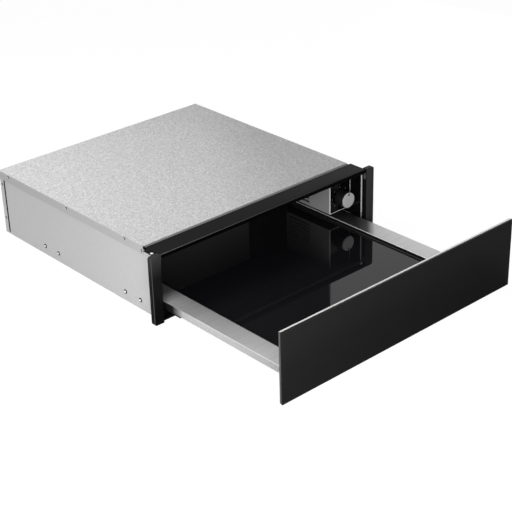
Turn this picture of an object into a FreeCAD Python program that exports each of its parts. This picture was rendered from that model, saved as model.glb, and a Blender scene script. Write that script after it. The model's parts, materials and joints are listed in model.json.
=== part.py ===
"""Built-in warming drawer, 14 cm class, with its drawer pulled fully out.

X runs to the right, Y to the back and Z up, in millimetres. The origin lies on the underside of
the housing, in the middle of its width, under the front edge of the top cover.
"""
import FreeCAD, Part
import math
import os

import Sketcher
from FreeCAD import Placement, Rotation, Vector

doc = FreeCAD.newDocument("WarmingDrawer")

SIZES = [
    ("half_width", 265.0, "half of the housing's width, outside of the side sheets"),
    ("sheet", 1.0, "thickness of the housing's sheets"),
    ("housing_height", 141.4, "top of the cover above the underside"),
    ("housing_depth", 488.0, "rear face of the cover's rear flange"),
    ("cover_flange", 18.0, "height of the cover's flanges"),
    ("front_reach", 54.5, "posts' front face ahead of the cover's front edge"),
    ("lap_depth", 12.0, "back sheet's flange along the side"),
    ("lap_gap", 2.5, "gap between side sheet and back flange"),
    ("lap_slot_foot", 4.0, "lower end of the open slot in that gap"),
    ("lap_slot_head", 126.0, "upper end of the open slot"),
    ("base_upstand", 8.0, "height of the base sheet's turned-up sides"),
    ("bead_offset", 120.0, "stiffening bead from the middle of the base"),
    ("bead_width", 14.0, "width of a bead in the base"),
    ("bead_height", 3.0, "height of a bead above the base"),
    ("bead_inset", 50.0, "bead's ends from the front and rear of the base"),
    ("vent_width", 30.0, "length of a vent slot in the back sheet"),
    ("vent_height", 4.0, "height of a vent slot"),
    ("vent_spacing", 42.0, "vent slots' spacing"),
    ("vent_level", 96.0, "vent slots' height above the underside"),
    ("flange_reach", 21.0, "side sheets' front flange outside the web"),
    ("flange_foot", 6.0, "lower end of the front flange"),
    ("post_gap", 3.0, "post's inner wall from the side sheet's outer face"),
    ("post_width", 22.0, "width of a mounting post"),
    ("post_depth", 10.0, "depth of a mounting post"),
    ("post_foot", 3.0, "lower end of a post"),
    ("post_wall", 1.5, "wall of a post"),
    ("post_round", 5.0, "rounding of a post's outer corners"),
    ("post_screw_in", 6.0, "post screws from the post's inner wall"),
    ("post_screw_end", 26.0, "post screws from the post's ends"),
    ("boss_round", 3.6, "radius of a screw boss in a post"),
    ("beam_rise", 2.5, "beam's top above the cover"),
    ("beam_lip", 8.0, "height of the beam's front lip"),
    ("beam_return", 4.5, "depth of the lip's return"),
    ("beam_rear", 11.5, "beam's rear edge ahead of the cover"),
    ("beam_end_gap", 2.0, "beam's end from the posts' inner walls"),
    ("ear_reach", 10.0, "ear beyond the end of the beam"),
    ("ear_step", 2.4, "width of the step down to the ear"),
    ("ear_sink", 0.2, "left ear's top below the cover's underside"),
    ("right_ear_drop", 2.8, "right ear below the left one"),
    ("ear_front", 42.0, "ear's front edge ahead of the cover"),
    ("ear_rear", 14.0, "ear's rear edge ahead of the cover"),
    ("ear_screw", 35.0, "ear's screw ahead of the cover"),
    ("ear_screw_edge", 4.0, "ear's screw from the ear's tip"),
    ("bar_front", 46.0, "crossbar's front edge ahead of the cover"),
    ("bar_rear", 12.0, "crossbar's rear edge behind the cover's front edge"),
    ("bar_lip", 10.0, "height of the crossbar's front lip"),
    ("bar_ridge", 0.7, "height of the ridge along the crossbar"),
    ("liner_foot", 38.0, "lower edge of the side liners"),
    ("liner_gap", 18.0, "side liners' rear edge from the back sheet"),
    ("trim_foot", 46.0, "lower end of the edge trims"),
    ("trim_head", 128.0, "upper end of the edge trims"),
    ("trim_width", 3.0, "width of the edge trims"),
    ("trim_thick", 1.5, "thickness of the edge trims"),
    ("buffer_height", 20.0, "height of a post buffer"),
    ("buffer_width", 5.0, "width of a post buffer"),
    ("buffer_thick", 1.4, "thickness of a post buffer"),
    ("buffer_drop", 3.0, "buffer's upper end below the post's top"),
    ("travel", 341.0, "drawer's full travel"),
    ("panel_gap", 2.0, "closed front panel's gap to the posts"),
    ("panel_width", 594.0, "width of the front panel"),
    ("panel_height", 140.0, "height of the front panel"),
    ("panel_foot", 1.5, "lower edge of the front panel"),
    ("panel_glass", 3.0, "thickness of the front glass"),
    ("glass_edge", 0.6, "chamfer round the front glass"),
    ("frame_depth", 4.5, "depth of the metal back behind the glass"),
    ("frame_inset", 0.5, "metal back's rim inside the glass's edge"),
    ("frame_sheet", 1.2, "sheet of the metal back"),
    ("rear_clear", 7.0, "closed drawer's rear end from the back sheet"),
    ("tray_sheet", 1.0, "sheet of the tray and ledges"),
    ("tray_skirt", 12.0, "lower edge of the tray's side skirts"),
    ("rear_skirt", 19.0, "lower edge of the tray's rear skirt"),
    ("floor_top", 30.8, "top of the glass floor"),
    ("floor_glass", 4.0, "thickness of the glass floor"),
    ("seal_width", 3.6, "width of the seal round the glass floor"),
    ("seal_rise", 0.3, "seal above the glass floor"),
    ("ledge_width", 41.7, "width of a side ledge"),
    ("ledge_top", 37.5, "top of the ledges"),
    ("ledge_drop", 14.1, "height of a ledge's outer flange"),
    ("ledge_side_gap", 7.7, "ledge's outer flange from the side sheet's inner face"),
    ("ledge_notch", 45.5, "start of the outer flange behind the front panel"),
    ("rear_wall_foot", 12.0, "depth of the rear wall's foot"),
    ("rear_wall_height", 129.5, "top of the drawer's rear wall"),
    ("rear_wall_return", 9.0, "depth of the rear wall's top return"),
    ("bracket_length", 44.0, "length of a front bracket"),
    ("bracket_sheet", 1.5, "sheet of the front and rail brackets"),
    ("bracket_out", 252.0, "front bracket's outer face from the middle"),
    ("bracket_wide", 32.0, "width of a front bracket"),
    ("bracket_foot", 12.0, "lower edge of a front bracket"),
    ("slide_offset", 11.1, "runner's fixed face from the side sheet's inner face"),
    ("slide_thick", 12.7, "thickness of a ball-bearing runner"),
    ("slide_level", 23.0, "middle height of the runners"),
    ("rail_sheet", 1.2, "sheet of the rails"),
    ("cabinet_half", 12.0, "half height of the cabinet rail"),
    ("cabinet_depth", 11.0, "depth of the cabinet rail's flanges"),
    ("middle_half", 7.9, "half height of the middle rail"),
    ("middle_gap", 1.0, "middle rail's web from the cabinet rail's web"),
    ("middle_depth", 11.5, "edge of the middle rail's flanges"),
    ("drawer_half", 3.7, "half height of the drawer rail"),
    ("drawer_depth", 4.6, "edge of the drawer rail's flanges from the fixed face"),
    ("ball_radius", 1.5, "radius of a bearing ball"),
    ("groove_radius", 1.75, "radius of a ball groove"),
    ("outer_ball_height", 9.3, "outer ball rows from the runner's middle height"),
    ("outer_ball_depth", 5.5, "outer ball rows from the fixed face"),
    ("inner_ball_height", 5.2, "inner ball rows from the runner's middle height"),
    ("inner_ball_depth", 9.0, "inner ball rows from the fixed face"),
    ("cage_sheet", 0.6, "sheet of the ball cages"),
    ("cage_gap", 0.25, "ball cage from the rail's web"),
    ("cage_margin", 2.2, "cage's edge beyond its row of balls"),
    ("cage_length", 110.0, "length of a ball cage"),
    ("ball_spacing", 33.0, "spacing of the balls"),
    ("ball_end", 5.5, "first ball from the cage's end"),
    ("ball_play", 0.1, "ball's play in its window"),
    ("cabinet_start", 8.0, "front end of the cabinet rail"),
    ("cabinet_length", 344.0, "length of the cabinet rail"),
    ("middle_start", 90.5, "front end of the middle rail, drawer shut"),
    ("middle_length", 260.0, "length of the middle rail"),
    ("drawer_rail_start", 11.0, "front end of the drawer rail, drawer shut"),
    ("drawer_rail_length", 430.0, "length of the drawer rail"),
    ("outer_cage_start", 149.25, "outer cage's front end, drawer shut"),
    ("inner_cage_start", 228.75, "inner cage's front end, drawer shut"),
    ("carrier_front", 20.0, "rail bracket's front end ahead of the cover"),
    ("carrier_foot", 10.4, "lower face of the rail bracket"),
    ("carrier_head", 30.0, "upper edge of the rail bracket's outer web"),
    ("carrier_inner_head", 34.0, "upper edge of its inner web"),
    ("block_step", 20.0, "height of the end block's step"),
    ("block_head", 37.0, "top of the end block"),
    ("block_gap", 0.3, "end block's inner face past the runner's fixed face"),
    ("block_width", 10.1, "width of the end block"),
    ("block_tall_width", 5.4, "width of the end block above its step"),
    ("rivet_level", 19.5, "rail rivets above the underside"),
    ("rivet_head", 4.5, "radius of a rail rivet's head"),
    ("rivet_dome", 2.5, "height of a rail rivet's head"),
    ("rivet_shank", 2.0, "radius of a rail rivet's shank"),
    ("rivet_first", 20.2, "front pair of rail rivets, first rivet"),
    ("rivet_pair", 46.7, "spacing within a pair of rivets"),
    ("rivet_pairs", 269.6, "spacing of the two pairs"),
    ("screw_head", 2.7, "radius of a case screw's head"),
    ("screw_dome", 1.6, "height of a case screw's head"),
    ("screw_shank", 1.5, "radius of a case screw's shank"),
    ("screw_length", 6.0, "length of a case screw's shank"),
    ("sunk_head", 0.9, "depth of a post screw's countersunk head"),
    ("cover_screw_drop", 5.0, "cover screws below the cover's top"),
    ("cover_screw_front", 55.7, "first cover screw"),
    ("cover_screw_rear", 36.3, "third cover screw ahead of the cover's rear face"),
    ("corner_screw_drop", 11.4, "corner screw below the cover's top"),
    ("corner_screw_back", 5.0, "corner screw behind the cover's front edge"),
    ("corner_hole_drop", 5.0, "corner hole below the cover's top"),
    ("corner_hole", 1.9, "radius of the corner hole"),
    ("back_screw_low", 35.0, "lower back screw"),
    ("back_screw_high", 112.0, "upper back screw"),
    ("beam_screw_head", 3.7, "radius of a beam screw's head"),
    ("beam_screw_dome", 1.8, "height of a beam screw's head"),
    ("box_width", 59.0, "width of the control box"),
    ("box_foot", 49.0, "underside of the control box"),
    ("box_back", 118.0, "rear face of the control box"),
    ("panel_front", 13.6, "control panel's face ahead of the cover"),
    ("panel_thick", 2.0, "thickness of the control panel"),
    ("trim_band", 1.3, "width of the trim round the control panel"),
    ("trim_proud", 0.3, "trim in front of the control panel"),
    ("slot_front", 47.0, "front ends of the louvre slots"),
    ("slot_length", 64.0, "length of a louvre slot"),
    ("slot_height", 5.0, "height of a louvre slot"),
    ("slot_first", 56.0, "lower edge of the lowest slot"),
    ("slot_spacing", 8.0, "spacing of the slots"),
    ("fin_lean", 4.0, "depth of a louvre fin"),
    ("fin_drop", 3.0, "fall of a louvre fin"),
    ("fin_thick", 0.9, "thickness of a louvre fin"),
    ("knob_in", 31.0, "knob's axis from the side sheet's inner face"),
    ("knob_level", 80.3, "knob's axis above the underside"),
    ("knob_radius", 16.4, "radius of the knob's body"),
    ("knob_reach", 22.4, "length of the knob's body"),
    ("knob_gap", 0.5, "knob's gap to the control panel"),
    ("knob_edge", 1.2, "chamfer at the knob body's rear edge"),
    ("knob_hollow", 13.6, "radius of the hollow in the knob"),
    ("knob_hub", 5.0, "radius of the knob's hub"),
    ("knob_floor", 3.0, "solid front of the knob's body"),
    ("cap_radius", 18.0, "radius of the knob's cap"),
    ("cap_thick", 3.0, "thickness of the knob's cap"),
    ("cap_edge", 0.6, "chamfer of the knob's cap"),
    ("spindle_radius", 3.0, "radius of the spindle"),
    ("spindle_seat", 14.0, "spindle's length inside the switch"),
    ("spindle_play", 0.05, "spindle's running clearance"),
    ("spindle_hole", 4.0, "radius of the spindle's hole in the control panel"),
    ("switch_width", 30.0, "width of the selector switch"),
    ("switch_depth", 26.0, "depth of the selector switch"),
    ("switch_step", 3.0, "switch's collar behind the panel"),
    ("switch_collar", 9.0, "radius of the switch's collar"),
    ("tag_first", 4.0, "first tag from the switch's edge"),
    ("tag_spacing", 8.0, "spacing of the switch's tags"),
    ("tag_width", 3.0, "width of a tag"),
    ("tag_length", 5.0, "length of a tag"),
    ("fan_size", 60.0, "side of the fan's frame"),
    ("fan_thick", 25.0, "thickness of the fan's frame"),
    ("fan_bore", 28.0, "radius of the fan frame's bore"),
    ("fan_right", 2.0, "fan frame from the control box's right wall"),
    ("fan_middle", 82.0, "fan's axis behind the cover's front edge"),
    ("spoke_thick", 2.0, "thickness of the fan's spokes"),
    ("spoke_width", 4.0, "width of the fan's spokes"),
    ("motor_radius", 12.0, "radius of the fan's motor"),
    ("motor_length", 9.0, "length of the fan's motor"),
    ("motor_gap", 0.6, "motor's gap to the rotor"),
    ("rotor_radius", 12.5, "radius of the fan's rotor hub"),
    ("rotor_length", 11.0, "length of the rotor hub"),
    ("rotor_wall", 1.5, "wall of the rotor hub"),
    ("blade_tip", 26.6, "radius of the blade tips"),
    ("blade_chord", 9.0, "chord of a blade"),
    ("blade_thick", 1.3, "thickness of a blade"),
    ("blade_root_pitch", 34.0, "blade's angle at the hub, degrees"),
    ("blade_tip_pitch", 58.0, "blade's angle at the tip, degrees"),
    ("shaft_radius", 1.5, "radius of the fan's shaft"),
    ("shaft_play", 0.05, "shaft's running clearance"),
    ("shaft_seat", 7.0, "shaft's length inside the motor"),
    ("heater_radius", 3.0, "radius of the heating element"),
    ("heater_in", 13.0, "heating element from the louvres' sheet"),
    ("heater_first", 60.0, "lowest run of the heating element"),
    ("heater_spacing", 12.0, "spacing of its runs"),
    ("heater_front", 56.0, "front bends of the heating element"),
    ("heater_rear", 102.0, "rear bend of the heating element"),
    ("cutout_radius", 8.0, "radius of the thermal cut-out"),
    ("cutout_height", 6.0, "height of the thermal cut-out"),
    ("cutout_in", 22.0, "thermal cut-out from the box's left face"),
    ("cutout_back", 34.0, "thermal cut-out behind the cover's front edge"),
    ("cutout_tab", 5.0, "length of the cut-out's tabs"),
    ("cutout_tab_half", 2.0, "half width of the cut-out's tabs"),
    ("cutout_tab_out", 3.0, "tabs from the middle of the cut-out"),
    ("block_length", 16.0, "length of the terminal block"),
    ("terminal_width", 26.0, "width of the terminal block"),
    ("terminal_height", 14.0, "height of the terminal block"),
    ("terminal_gap", 4.0, "terminal block in front of the fan"),
    ("terminal_first", 5.0, "first terminal from the block's edge"),
    ("terminal_spacing", 8.0, "spacing of the terminals"),
    ("terminal_half", 2.6, "half width of a terminal's mouth"),
    ("terminal_low", 3.0, "terminals' mouths above the block's underside"),
    ("terminal_tall", 6.0, "height of a terminal's mouth"),
    ("terminal_deep", 5.0, "depth of a terminal's mouth"),
    ("lead_in", 15.0, "mains lead from the side sheet's inner face"),
    ("lead_drop", 26.4, "mains lead below the cover's top"),
    ("lead_radius", 3.5, "radius of the mains lead"),
    ("lead_play", 0.3, "mains lead's play in its holes"),
    ("gland_radius", 6.0, "radius of the cable gland"),
    ("gland_flange", 8.0, "radius of the cable gland's flange"),
    ("gland_flange_thick", 2.5, "thickness of the gland's flange"),
    ("gland_reach", 9.0, "gland's length inside the housing"),
    ("latch_width", 26.0, "width of the latch body"),
    ("latch_height", 17.0, "height of the latch body above the base"),
    ("latch_length", 34.0, "length of the latch body"),
    ("latch_level", 11.0, "latch plunger above the underside"),
    ("plunger_width", 8.0, "width of the plunger"),
    ("plunger_height", 6.0, "height of the plunger"),
    ("plunger_reach", 14.0, "plunger ahead of the latch body"),
    ("plunger_seat", 12.0, "plunger's length inside the latch body"),
    ("plunger_travel", 6.0, "plunger's travel"),
    ("plunger_play", 0.2, "plunger's play in the latch body"),
    ("striker_gap", 0.3, "shut striker's gap to the plunger"),
    ("striker_back", 56.0, "striker ahead of the tray's rear end"),
    ("striker_width", 22.0, "width of the striker"),
    ("striker_foot", 7.0, "lower edge of the striker"),
    ("striker_sheet", 1.5, "sheet of the striker"),
    ("striker_base", 18.0, "length of the striker's foot"),
    ("front_screw_low", 8.0, "front screws above the bracket's lower edge"),
    ("front_screw_edge", 6.0, "outer front screw from the bracket's edge"),
    ("front_screw_spacing", 18.0, "spacing of the front screws"),
    ("tray_screw_first", 60.0, "inner tray screw from the middle"),
    ("tray_screw_spacing", 120.0, "spacing of the tray screws"),
]


class Size:
    """A length with its value and the sheet expression that gives it."""

    def __init__(self, value, text):
        self.value = float(value)
        self.text = text

    def _join(self, other, sign, value):
        return Size(value, "(%s %s %s)" % (self.text, sign, other.text))

    def __add__(self, other):
        other = as_size(other)
        return self._join(other, "+", self.value + other.value)

    def __sub__(self, other):
        other = as_size(other)
        return self._join(other, "-", self.value - other.value)

    def __mul__(self, other):
        other = as_size(other)
        return self._join(other, "*", self.value * other.value)

    def __truediv__(self, other):
        other = as_size(other)
        return self._join(other, "/", self.value / other.value)

    def __radd__(self, other):
        return as_size(other) + self

    def __rsub__(self, other):
        return as_size(other) - self

    def __rmul__(self, other):
        return as_size(other) * self

    def __neg__(self):
        return as_size(-1) * self


def as_size(number):
    """Give a plain number the form of a Size."""
    if isinstance(number, Size):
        return number
    return Size(number, "(%g)" % number)


class Sheet:
    """The spreadsheet of driving dimensions, one attribute for each alias."""

    def __init__(self, rows):
        cells = doc.addObject("Spreadsheet::Sheet", "Sizes")
        for number, (alias, value, note) in enumerate(rows, start=1):
            cells.set("A%d" % number, alias)
            cells.set("B%d" % number, "%g" % value)
            cells.set("C%d" % number, note)
            cells.setAlias("B%d" % number, alias)
            setattr(self, alias, Size(value, "Sizes." + alias))


S = Sheet(SIZES)
ZERO = as_size(0)
LEFT = -1
RIGHT = 1
SIDES = (("left", LEFT), ("right", RIGHT))

# Planes that several pieces share
web_in = S.half_width - S.sheet
liner_in = web_in - S.sheet
cover_top = S.housing_height
cover_under = cover_top - S.sheet
ceiling_under = cover_under - S.sheet
back_out = S.housing_depth - S.sheet
back_in = back_out - S.sheet
post_front = -S.front_reach
post_back = post_front + S.post_depth
post_in = S.half_width + S.post_gap
post_out = post_in + S.post_width
beam_top = cover_top + S.beam_rise
ear_top = {LEFT: cover_under - S.ear_sink, RIGHT: cover_under - S.ear_sink - S.right_ear_drop}
lug_top = {side: ear_top[side] - S.sheet for side in (LEFT, RIGHT)}
panel_back = post_front - S.panel_gap - S.travel
tray_start = panel_back + S.bracket_sheet
tray_end = back_in - S.rear_clear - S.travel
floor_under = S.floor_top - S.floor_glass
tray_under = floor_under - S.tray_sheet
ledge_out = web_in - S.ledge_side_gap
ledge_in = ledge_out - S.ledge_width
ledge_under = S.ledge_top - S.tray_sheet
rear_wall_front = tray_end - S.rear_wall_foot
slide_fixed = web_in - S.slide_offset
slide_tray = slide_fixed - S.slide_thick
box_right = liner_in
box_left = box_right - S.box_width
box_top = ceiling_under
panel_face = -S.panel_front
panel_rear = panel_face + S.panel_thick
knob_x = web_in - S.knob_in
lead_x = web_in - S.lead_in
lead_z = cover_top - S.lead_drop
fan_axis_z = S.box_foot + S.sheet + S.fan_size / 2
fan_rear = box_right - S.sheet - S.fan_right
ear_tip = post_in - S.beam_end_gap + S.ear_reach
ear_screw_x = ear_tip - S.ear_screw_edge
terminal_rear = S.fan_middle - S.fan_size / 2 - S.terminal_gap
latch_front = tray_end - S.striker_back + S.travel + S.striker_gap + S.plunger_reach

PLANES = {"X": "YZ_Plane", "Y": "XZ_Plane", "Z": "XY_Plane"}
NODES = {}
CUTS = []


def bind(item, path, amount):
    """Bind a property to the sheet."""
    item.setExpression(path, as_size(amount).text)


def new_body(label):
    """Start a body that becomes the node of that name."""
    body = doc.addObject("PartDesign::Body", label)
    body.Label = label
    NODES[label] = body
    return body


def origin_plane(body, axis):
    """Find the body's own origin plane that stands square to an axis."""
    return [item for item in body.Origin.OriginFeatures if item.Role == PLANES[axis]][0]


def new_sketch(body, axis, at):
    """Attach a sketch square to an axis, at a distance along it."""
    sketch = body.newObject("Sketcher::SketchObject", body.Name + "_sketch")
    sketch.AttachmentSupport = [(origin_plane(body, axis), "")]
    sketch.MapMode = "FlatFace"
    shift = -at if axis == "Y" else at
    sketch.AttachmentOffset = Placement(Vector(0, 0, shift.value), Rotation())
    bind(sketch, "AttachmentOffset.Base.z", shift)
    return sketch


def fix_point(sketch, index, end, place):
    """Hold a point of a sketch at its distances from the sketch's origin."""
    for kind, distance in (("DistanceX", place[0]), ("DistanceY", place[1])):
        distance = as_size(distance)
        number = sketch.addConstraint(Sketcher.Constraint(kind, -1, 1, index, end, distance.value))
        bind(sketch, "Constraints[%d]" % number, distance)


def flat(place):
    """Give the vector of a point in a sketch."""
    return Vector(as_size(place[0]).value, as_size(place[1]).value, 0)


def draw_outline(sketch, corners):
    """Draw a closed outline of straight lines."""
    start = sketch.GeometryCount
    count = len(corners)
    for index, corner in enumerate(corners):
        sketch.addGeometry(Part.LineSegment(flat(corner), flat(corners[(index + 1) % count])), False)
    for index, corner in enumerate(corners):
        follower = start + (index + 1) % count
        sketch.addConstraint(Sketcher.Constraint("Coincident", start + index, 2, follower, 1))
        fix_point(sketch, start + index, 1, corner)


def draw_circle(sketch, middle, radius):
    """Draw a circle."""
    radius = as_size(radius)
    index = sketch.GeometryCount
    sketch.addGeometry(Part.Circle(flat(middle), Vector(0, 0, 1), radius.value), False)
    fix_point(sketch, index, 3, middle)
    number = sketch.addConstraint(Sketcher.Constraint("Radius", index, radius.value))
    bind(sketch, "Constraints[%d]" % number, radius)


def draw(sketch, shapes):
    """Draw outlines, given as lists of corners, and circles, given as (middle, radius)."""
    for shape in shapes:
        if isinstance(shape, tuple):
            draw_circle(sketch, *shape)
        else:
            draw_outline(sketch, shape)


def pad(body, axis, low, high, *shapes):
    """Add material between two places along an axis."""
    low = as_size(low)
    sketch = new_sketch(body, axis, low)
    draw(sketch, shapes)
    feature = body.newObject("PartDesign::Pad", body.Name + "_pad")
    feature.Profile = sketch
    feature.Reversed = axis == "Y"
    bind(feature, "Length", high - low)
    return feature


def cut(body, axis, low, high, *shapes):
    """Take material away between two places along an axis."""
    low = as_size(low)
    sketch = new_sketch(body, axis, low)
    draw(sketch, shapes)
    feature = body.newObject("PartDesign::Pocket", body.Name + "_pocket")
    feature.Profile = sketch
    feature.Reversed = axis != "Y"
    bind(feature, "Length", high - low)
    CUTS.append(feature)
    return feature


def box(near, far):
    """Give the corners of a rectangle from two opposite corners."""
    return [near, (far[0], near[1]), far, (near[0], far[1])]


def plate(body, x, y, z):
    """Add a flat plate between two places along each axis."""
    return pad(body, "Z", z[0], z[1], box((x[0], y[0]), (x[1], y[1])))


def span(side, near, far):
    """Mirror a stretch of X to one side and put its lower end first."""
    ends = [side * as_size(near), side * as_size(far)]
    return sorted(ends, key=lambda end: end.value)


def mirrored(side, corners):
    """Mirror an outline in X and Z to one side."""
    return [(side * as_size(x), z) for x, z in corners]


def edges_where(feature, test):
    """Name the edges of a feature that pass a test."""
    doc.recompute()
    return ["Edge%d" % number for number, edge in enumerate(feature.Shape.Edges, start=1) if test(edge)]


def dress(body, kind, feature, names, path, amount):
    """Add a fillet or a chamfer on named edges."""
    item = body.newObject("PartDesign::" + kind, body.Name + "_" + kind.lower())
    item.Base = (feature, names)
    bind(item, path, amount)
    return item


def repeat(body, feature, axis, pitch, count):
    """Repeat a feature along an axis of the body."""
    role = axis + "_Axis"
    line = [item for item in body.Origin.OriginFeatures if item.Role == role][0]
    pattern = body.newObject("PartDesign::LinearPattern", body.Name + "_pattern")
    pattern.Originals = [feature]
    pattern.Direction = (line, [""])
    pattern.Occurrences = count
    pattern.Length = (pitch * (count - 1)).value
    bind(pattern, "Length", pitch * (count - 1))
    body.Tip = pattern
    return pattern


def revolve(body, profile):
    """Turn an outline of (radius, Y) points about the body's Y axis."""
    sketch = new_sketch(body, "Z", ZERO)
    draw_outline(sketch, profile)
    feature = body.newObject("PartDesign::Revolution", body.Name + "_turn")
    feature.Profile = sketch
    feature.ReferenceAxis = (sketch, ["V_Axis"])
    feature.Angle = 360
    return feature


def place(item, x, y, z, rotation=None):
    """Put an object at its place, bound to the sheet."""
    x, y, z = as_size(x), as_size(y), as_size(z)
    item.Placement = Placement(Vector(x.value, y.value, z.value), rotation or Rotation())
    for path, distance in (("x", x), ("y", y), ("z", z)):
        bind(item, "Placement.Base." + path, distance)


def group(label, members):
    """Join separate solids into one node."""
    item = doc.addObject("Part::Compound", label)
    item.Label = label
    item.Links = members
    NODES[label] = item
    return item


def loose_body(label):
    """Start a body that becomes one solid of a group."""
    body = new_body(label)
    del NODES[label]
    return body


def fasteners(label, outline, places):
    """Make a group of fasteners of one outline; each place is (x, y, z, outward direction)."""
    master = loose_body(label + "_master")
    revolve(master, outline)
    members = []
    for number, (x, y, z, outward) in enumerate(places, start=1):
        copy = doc.addObject("App::Link", "%s_%d" % (label, number))
        copy.LinkedObject = master
        copy.LinkTransform = False
        place(copy, x, y, z, Rotation(Vector(0, 1, 0), Vector(*outward)))
        members.append(copy)
    group(label, members)


def domed(head, dome, shank, length, tail=None):
    """Outline of a domed screw, or of a rivet with a set tail."""
    outline = [(ZERO, -length), (shank, -length), (shank, ZERO), (head, ZERO)]
    outline += [(head, dome * 0.35), (head * 0.8, dome * 0.8), (head * 0.4, dome), (ZERO, dome)]
    if tail:
        outline[1:2] = [(tail, -length), (tail, -length + dome * 0.5), (shank, -length + dome * 0.5)]
    return outline


def countersunk(depth, shank, length):
    """Outline of a screw whose head lies flush."""
    return [(ZERO, -length), (shank, -length), (shank, -depth), (shank + depth, ZERO), (ZERO, ZERO)]


def make_base_panel():
    """Bottom sheet with turned-up sides, a low front edge and two pressed beads."""
    body = new_body("base_panel")
    front = post_back
    rear = back_in
    plate(body, (-web_in, web_in), (front, rear), (ZERO, S.sheet))
    upstand = S.sheet + S.base_upstand
    side_rear = rear - S.liner_gap
    for side in (LEFT, RIGHT):
        plate(body, span(side, liner_in, web_in), (front, side_rear), (S.sheet, upstand))
    plate(body, (-liner_in, liner_in), (front, front + S.sheet), (S.sheet, S.sheet + 2 * S.sheet))
    for side in (LEFT, RIGHT):
        middle = side * S.bead_offset
        half = S.bead_width / 2
        ends = (front + S.bead_inset, rear - S.bead_inset)
        top = S.sheet + S.bead_height
        slope = S.bead_height
        ridge = [(middle - half, S.sheet), (middle + half, S.sheet),
                 (middle + half - slope, top), (middle - half + slope, top)]
        pad(body, "Y", ends[0], ends[1], ridge)
        hollow = [(middle - half + S.sheet, ZERO), (middle + half - S.sheet, ZERO),
                  (middle + half - slope - S.sheet, S.bead_height),
                  (middle - half + slope + S.sheet, S.bead_height)]
        cut(body, "Y", ends[0] + S.sheet, ends[1] - S.sheet, hollow)


def rivet_places():
    """Rail rivets along one side, from front to back."""
    first = S.rivet_first
    second = first + S.rivet_pairs
    return (first, first + S.rivet_pair, second, second + S.rivet_pair)


def cover_screw_places():
    """Cover screws along one side as (y, z)."""
    level = cover_top - S.cover_screw_drop
    rear = S.housing_depth - S.cover_screw_rear
    places = [(y, level) for y in (S.cover_screw_front, S.housing_depth / 2, rear)]
    places.append((S.corner_screw_back, cover_top - S.corner_screw_drop))
    return places


def back_screw_places():
    """Back screws along one side as (y, z)."""
    middle = back_out - S.lap_depth / 2
    return [(middle, S.back_screw_low), (middle, S.back_screw_high)]


def make_side_panel(name, side):
    """Side sheet: web, outward front flange, lug under the beam's ear and slotted rear lap."""
    body = new_body(name + "_side_panel")
    web = span(side, web_in, S.half_width)
    gap_end = back_out - S.lap_depth
    rear = gap_end - S.lap_gap
    head = lug_top[side]
    plate(body, web, (post_back, rear), (ZERO, head))
    plate(body, web, (ZERO, rear), (head, cover_under))
    flange = span(side, web_in, S.half_width + S.flange_reach)
    plate(body, flange, (post_back, post_back + S.sheet), (S.flange_foot, head - S.sheet))
    lug = span(side, web_in, ear_tip)
    plate(body, lug, (-S.ear_front, -S.ear_rear), (head - S.sheet, head))
    lap = span(side, liner_in, web_in)
    plate(body, lap, (rear - S.sheet, back_in), (S.sheet, cover_under))
    holes = [((y, z), S.screw_shank) for y, z in cover_screw_places()]
    holes += [((y, S.rivet_level), S.rivet_shank) for y in rivet_places()]
    cut(body, "X", web[0], web[1], *holes)
    laps = [((y, z), S.screw_shank) for y, z in back_screw_places()]
    slot = box((rear, S.lap_slot_foot), (gap_end, S.lap_slot_head))
    cut(body, "X", lap[0], lap[1], slot, *laps)
    ear_hole = ((side * ear_screw_x, -S.ear_screw), S.screw_shank)
    cut(body, "Z", head - S.sheet, head, ear_hole)
    holes = [((side * (post_in + S.post_screw_in), z), S.screw_shank) for z in post_screw_levels()]
    drilled = cut(body, "Y", post_back, post_back + S.sheet, *holes)
    rear_face = (post_back + S.sheet).value
    names = edges_where(drilled, lambda edge: isinstance(edge.Curve, Part.Circle)
                        and abs(edge.Curve.Axis.y) > 0.9 and abs(edge.CenterOfMass.y - rear_face) < 1e-4)
    dress(body, "Chamfer", drilled, names, "Size", S.sunk_head)


def post_screw_levels():
    """Heights of the two screws that hold a post."""
    return (S.post_foot + S.post_screw_end, beam_top - S.post_screw_end)


def make_back_panel():
    """Rear sheet with forward side flanges, a row of vent slots and the lead's hole."""
    body = new_body("back_panel")
    plate(body, (-S.half_width, S.half_width), (back_in, back_out), (ZERO, cover_under))
    for side in (LEFT, RIGHT):
        flange = span(side, web_in, S.half_width)
        plate(body, flange, (back_out - S.lap_depth, back_in), (ZERO, cover_under))
        holes = [((y, z), S.screw_shank) for y, z in back_screw_places()]
        cut(body, "X", flange[0], flange[1], *holes)
    cut(body, "Y", back_in, back_out, ((lead_x, lead_z), S.gland_radius))
    count = 8
    first = -(S.vent_spacing * (count - 1) + S.vent_width) / 2 - S.vent_spacing / 2
    slot = box((first, S.vent_level), (first + S.vent_width, S.vent_level + S.vent_height))
    feature = cut(body, "Y", back_in, back_out, slot)
    repeat(body, feature, "X", S.vent_spacing, count)


def make_top_cover():
    """Top sheet with flanges down both sides and the rear."""
    body = new_body("top_cover")
    out = S.half_width + S.sheet
    plate(body, (-out, out), (ZERO, S.housing_depth), (cover_under, cover_top))
    foot = cover_top - S.cover_flange
    plate(body, (-out, out), (back_out, S.housing_depth), (foot, cover_under))
    for side in (LEFT, RIGHT):
        flange = span(side, S.half_width, out)
        plate(body, flange, (ZERO, back_out), (foot, cover_under))
        holes = [((y, z), S.screw_shank) for y, z in cover_screw_places()]
        holes.append(((S.corner_screw_back, cover_top - S.corner_hole_drop), S.corner_hole))
        cut(body, "X", flange[0], flange[1], *holes)


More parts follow.
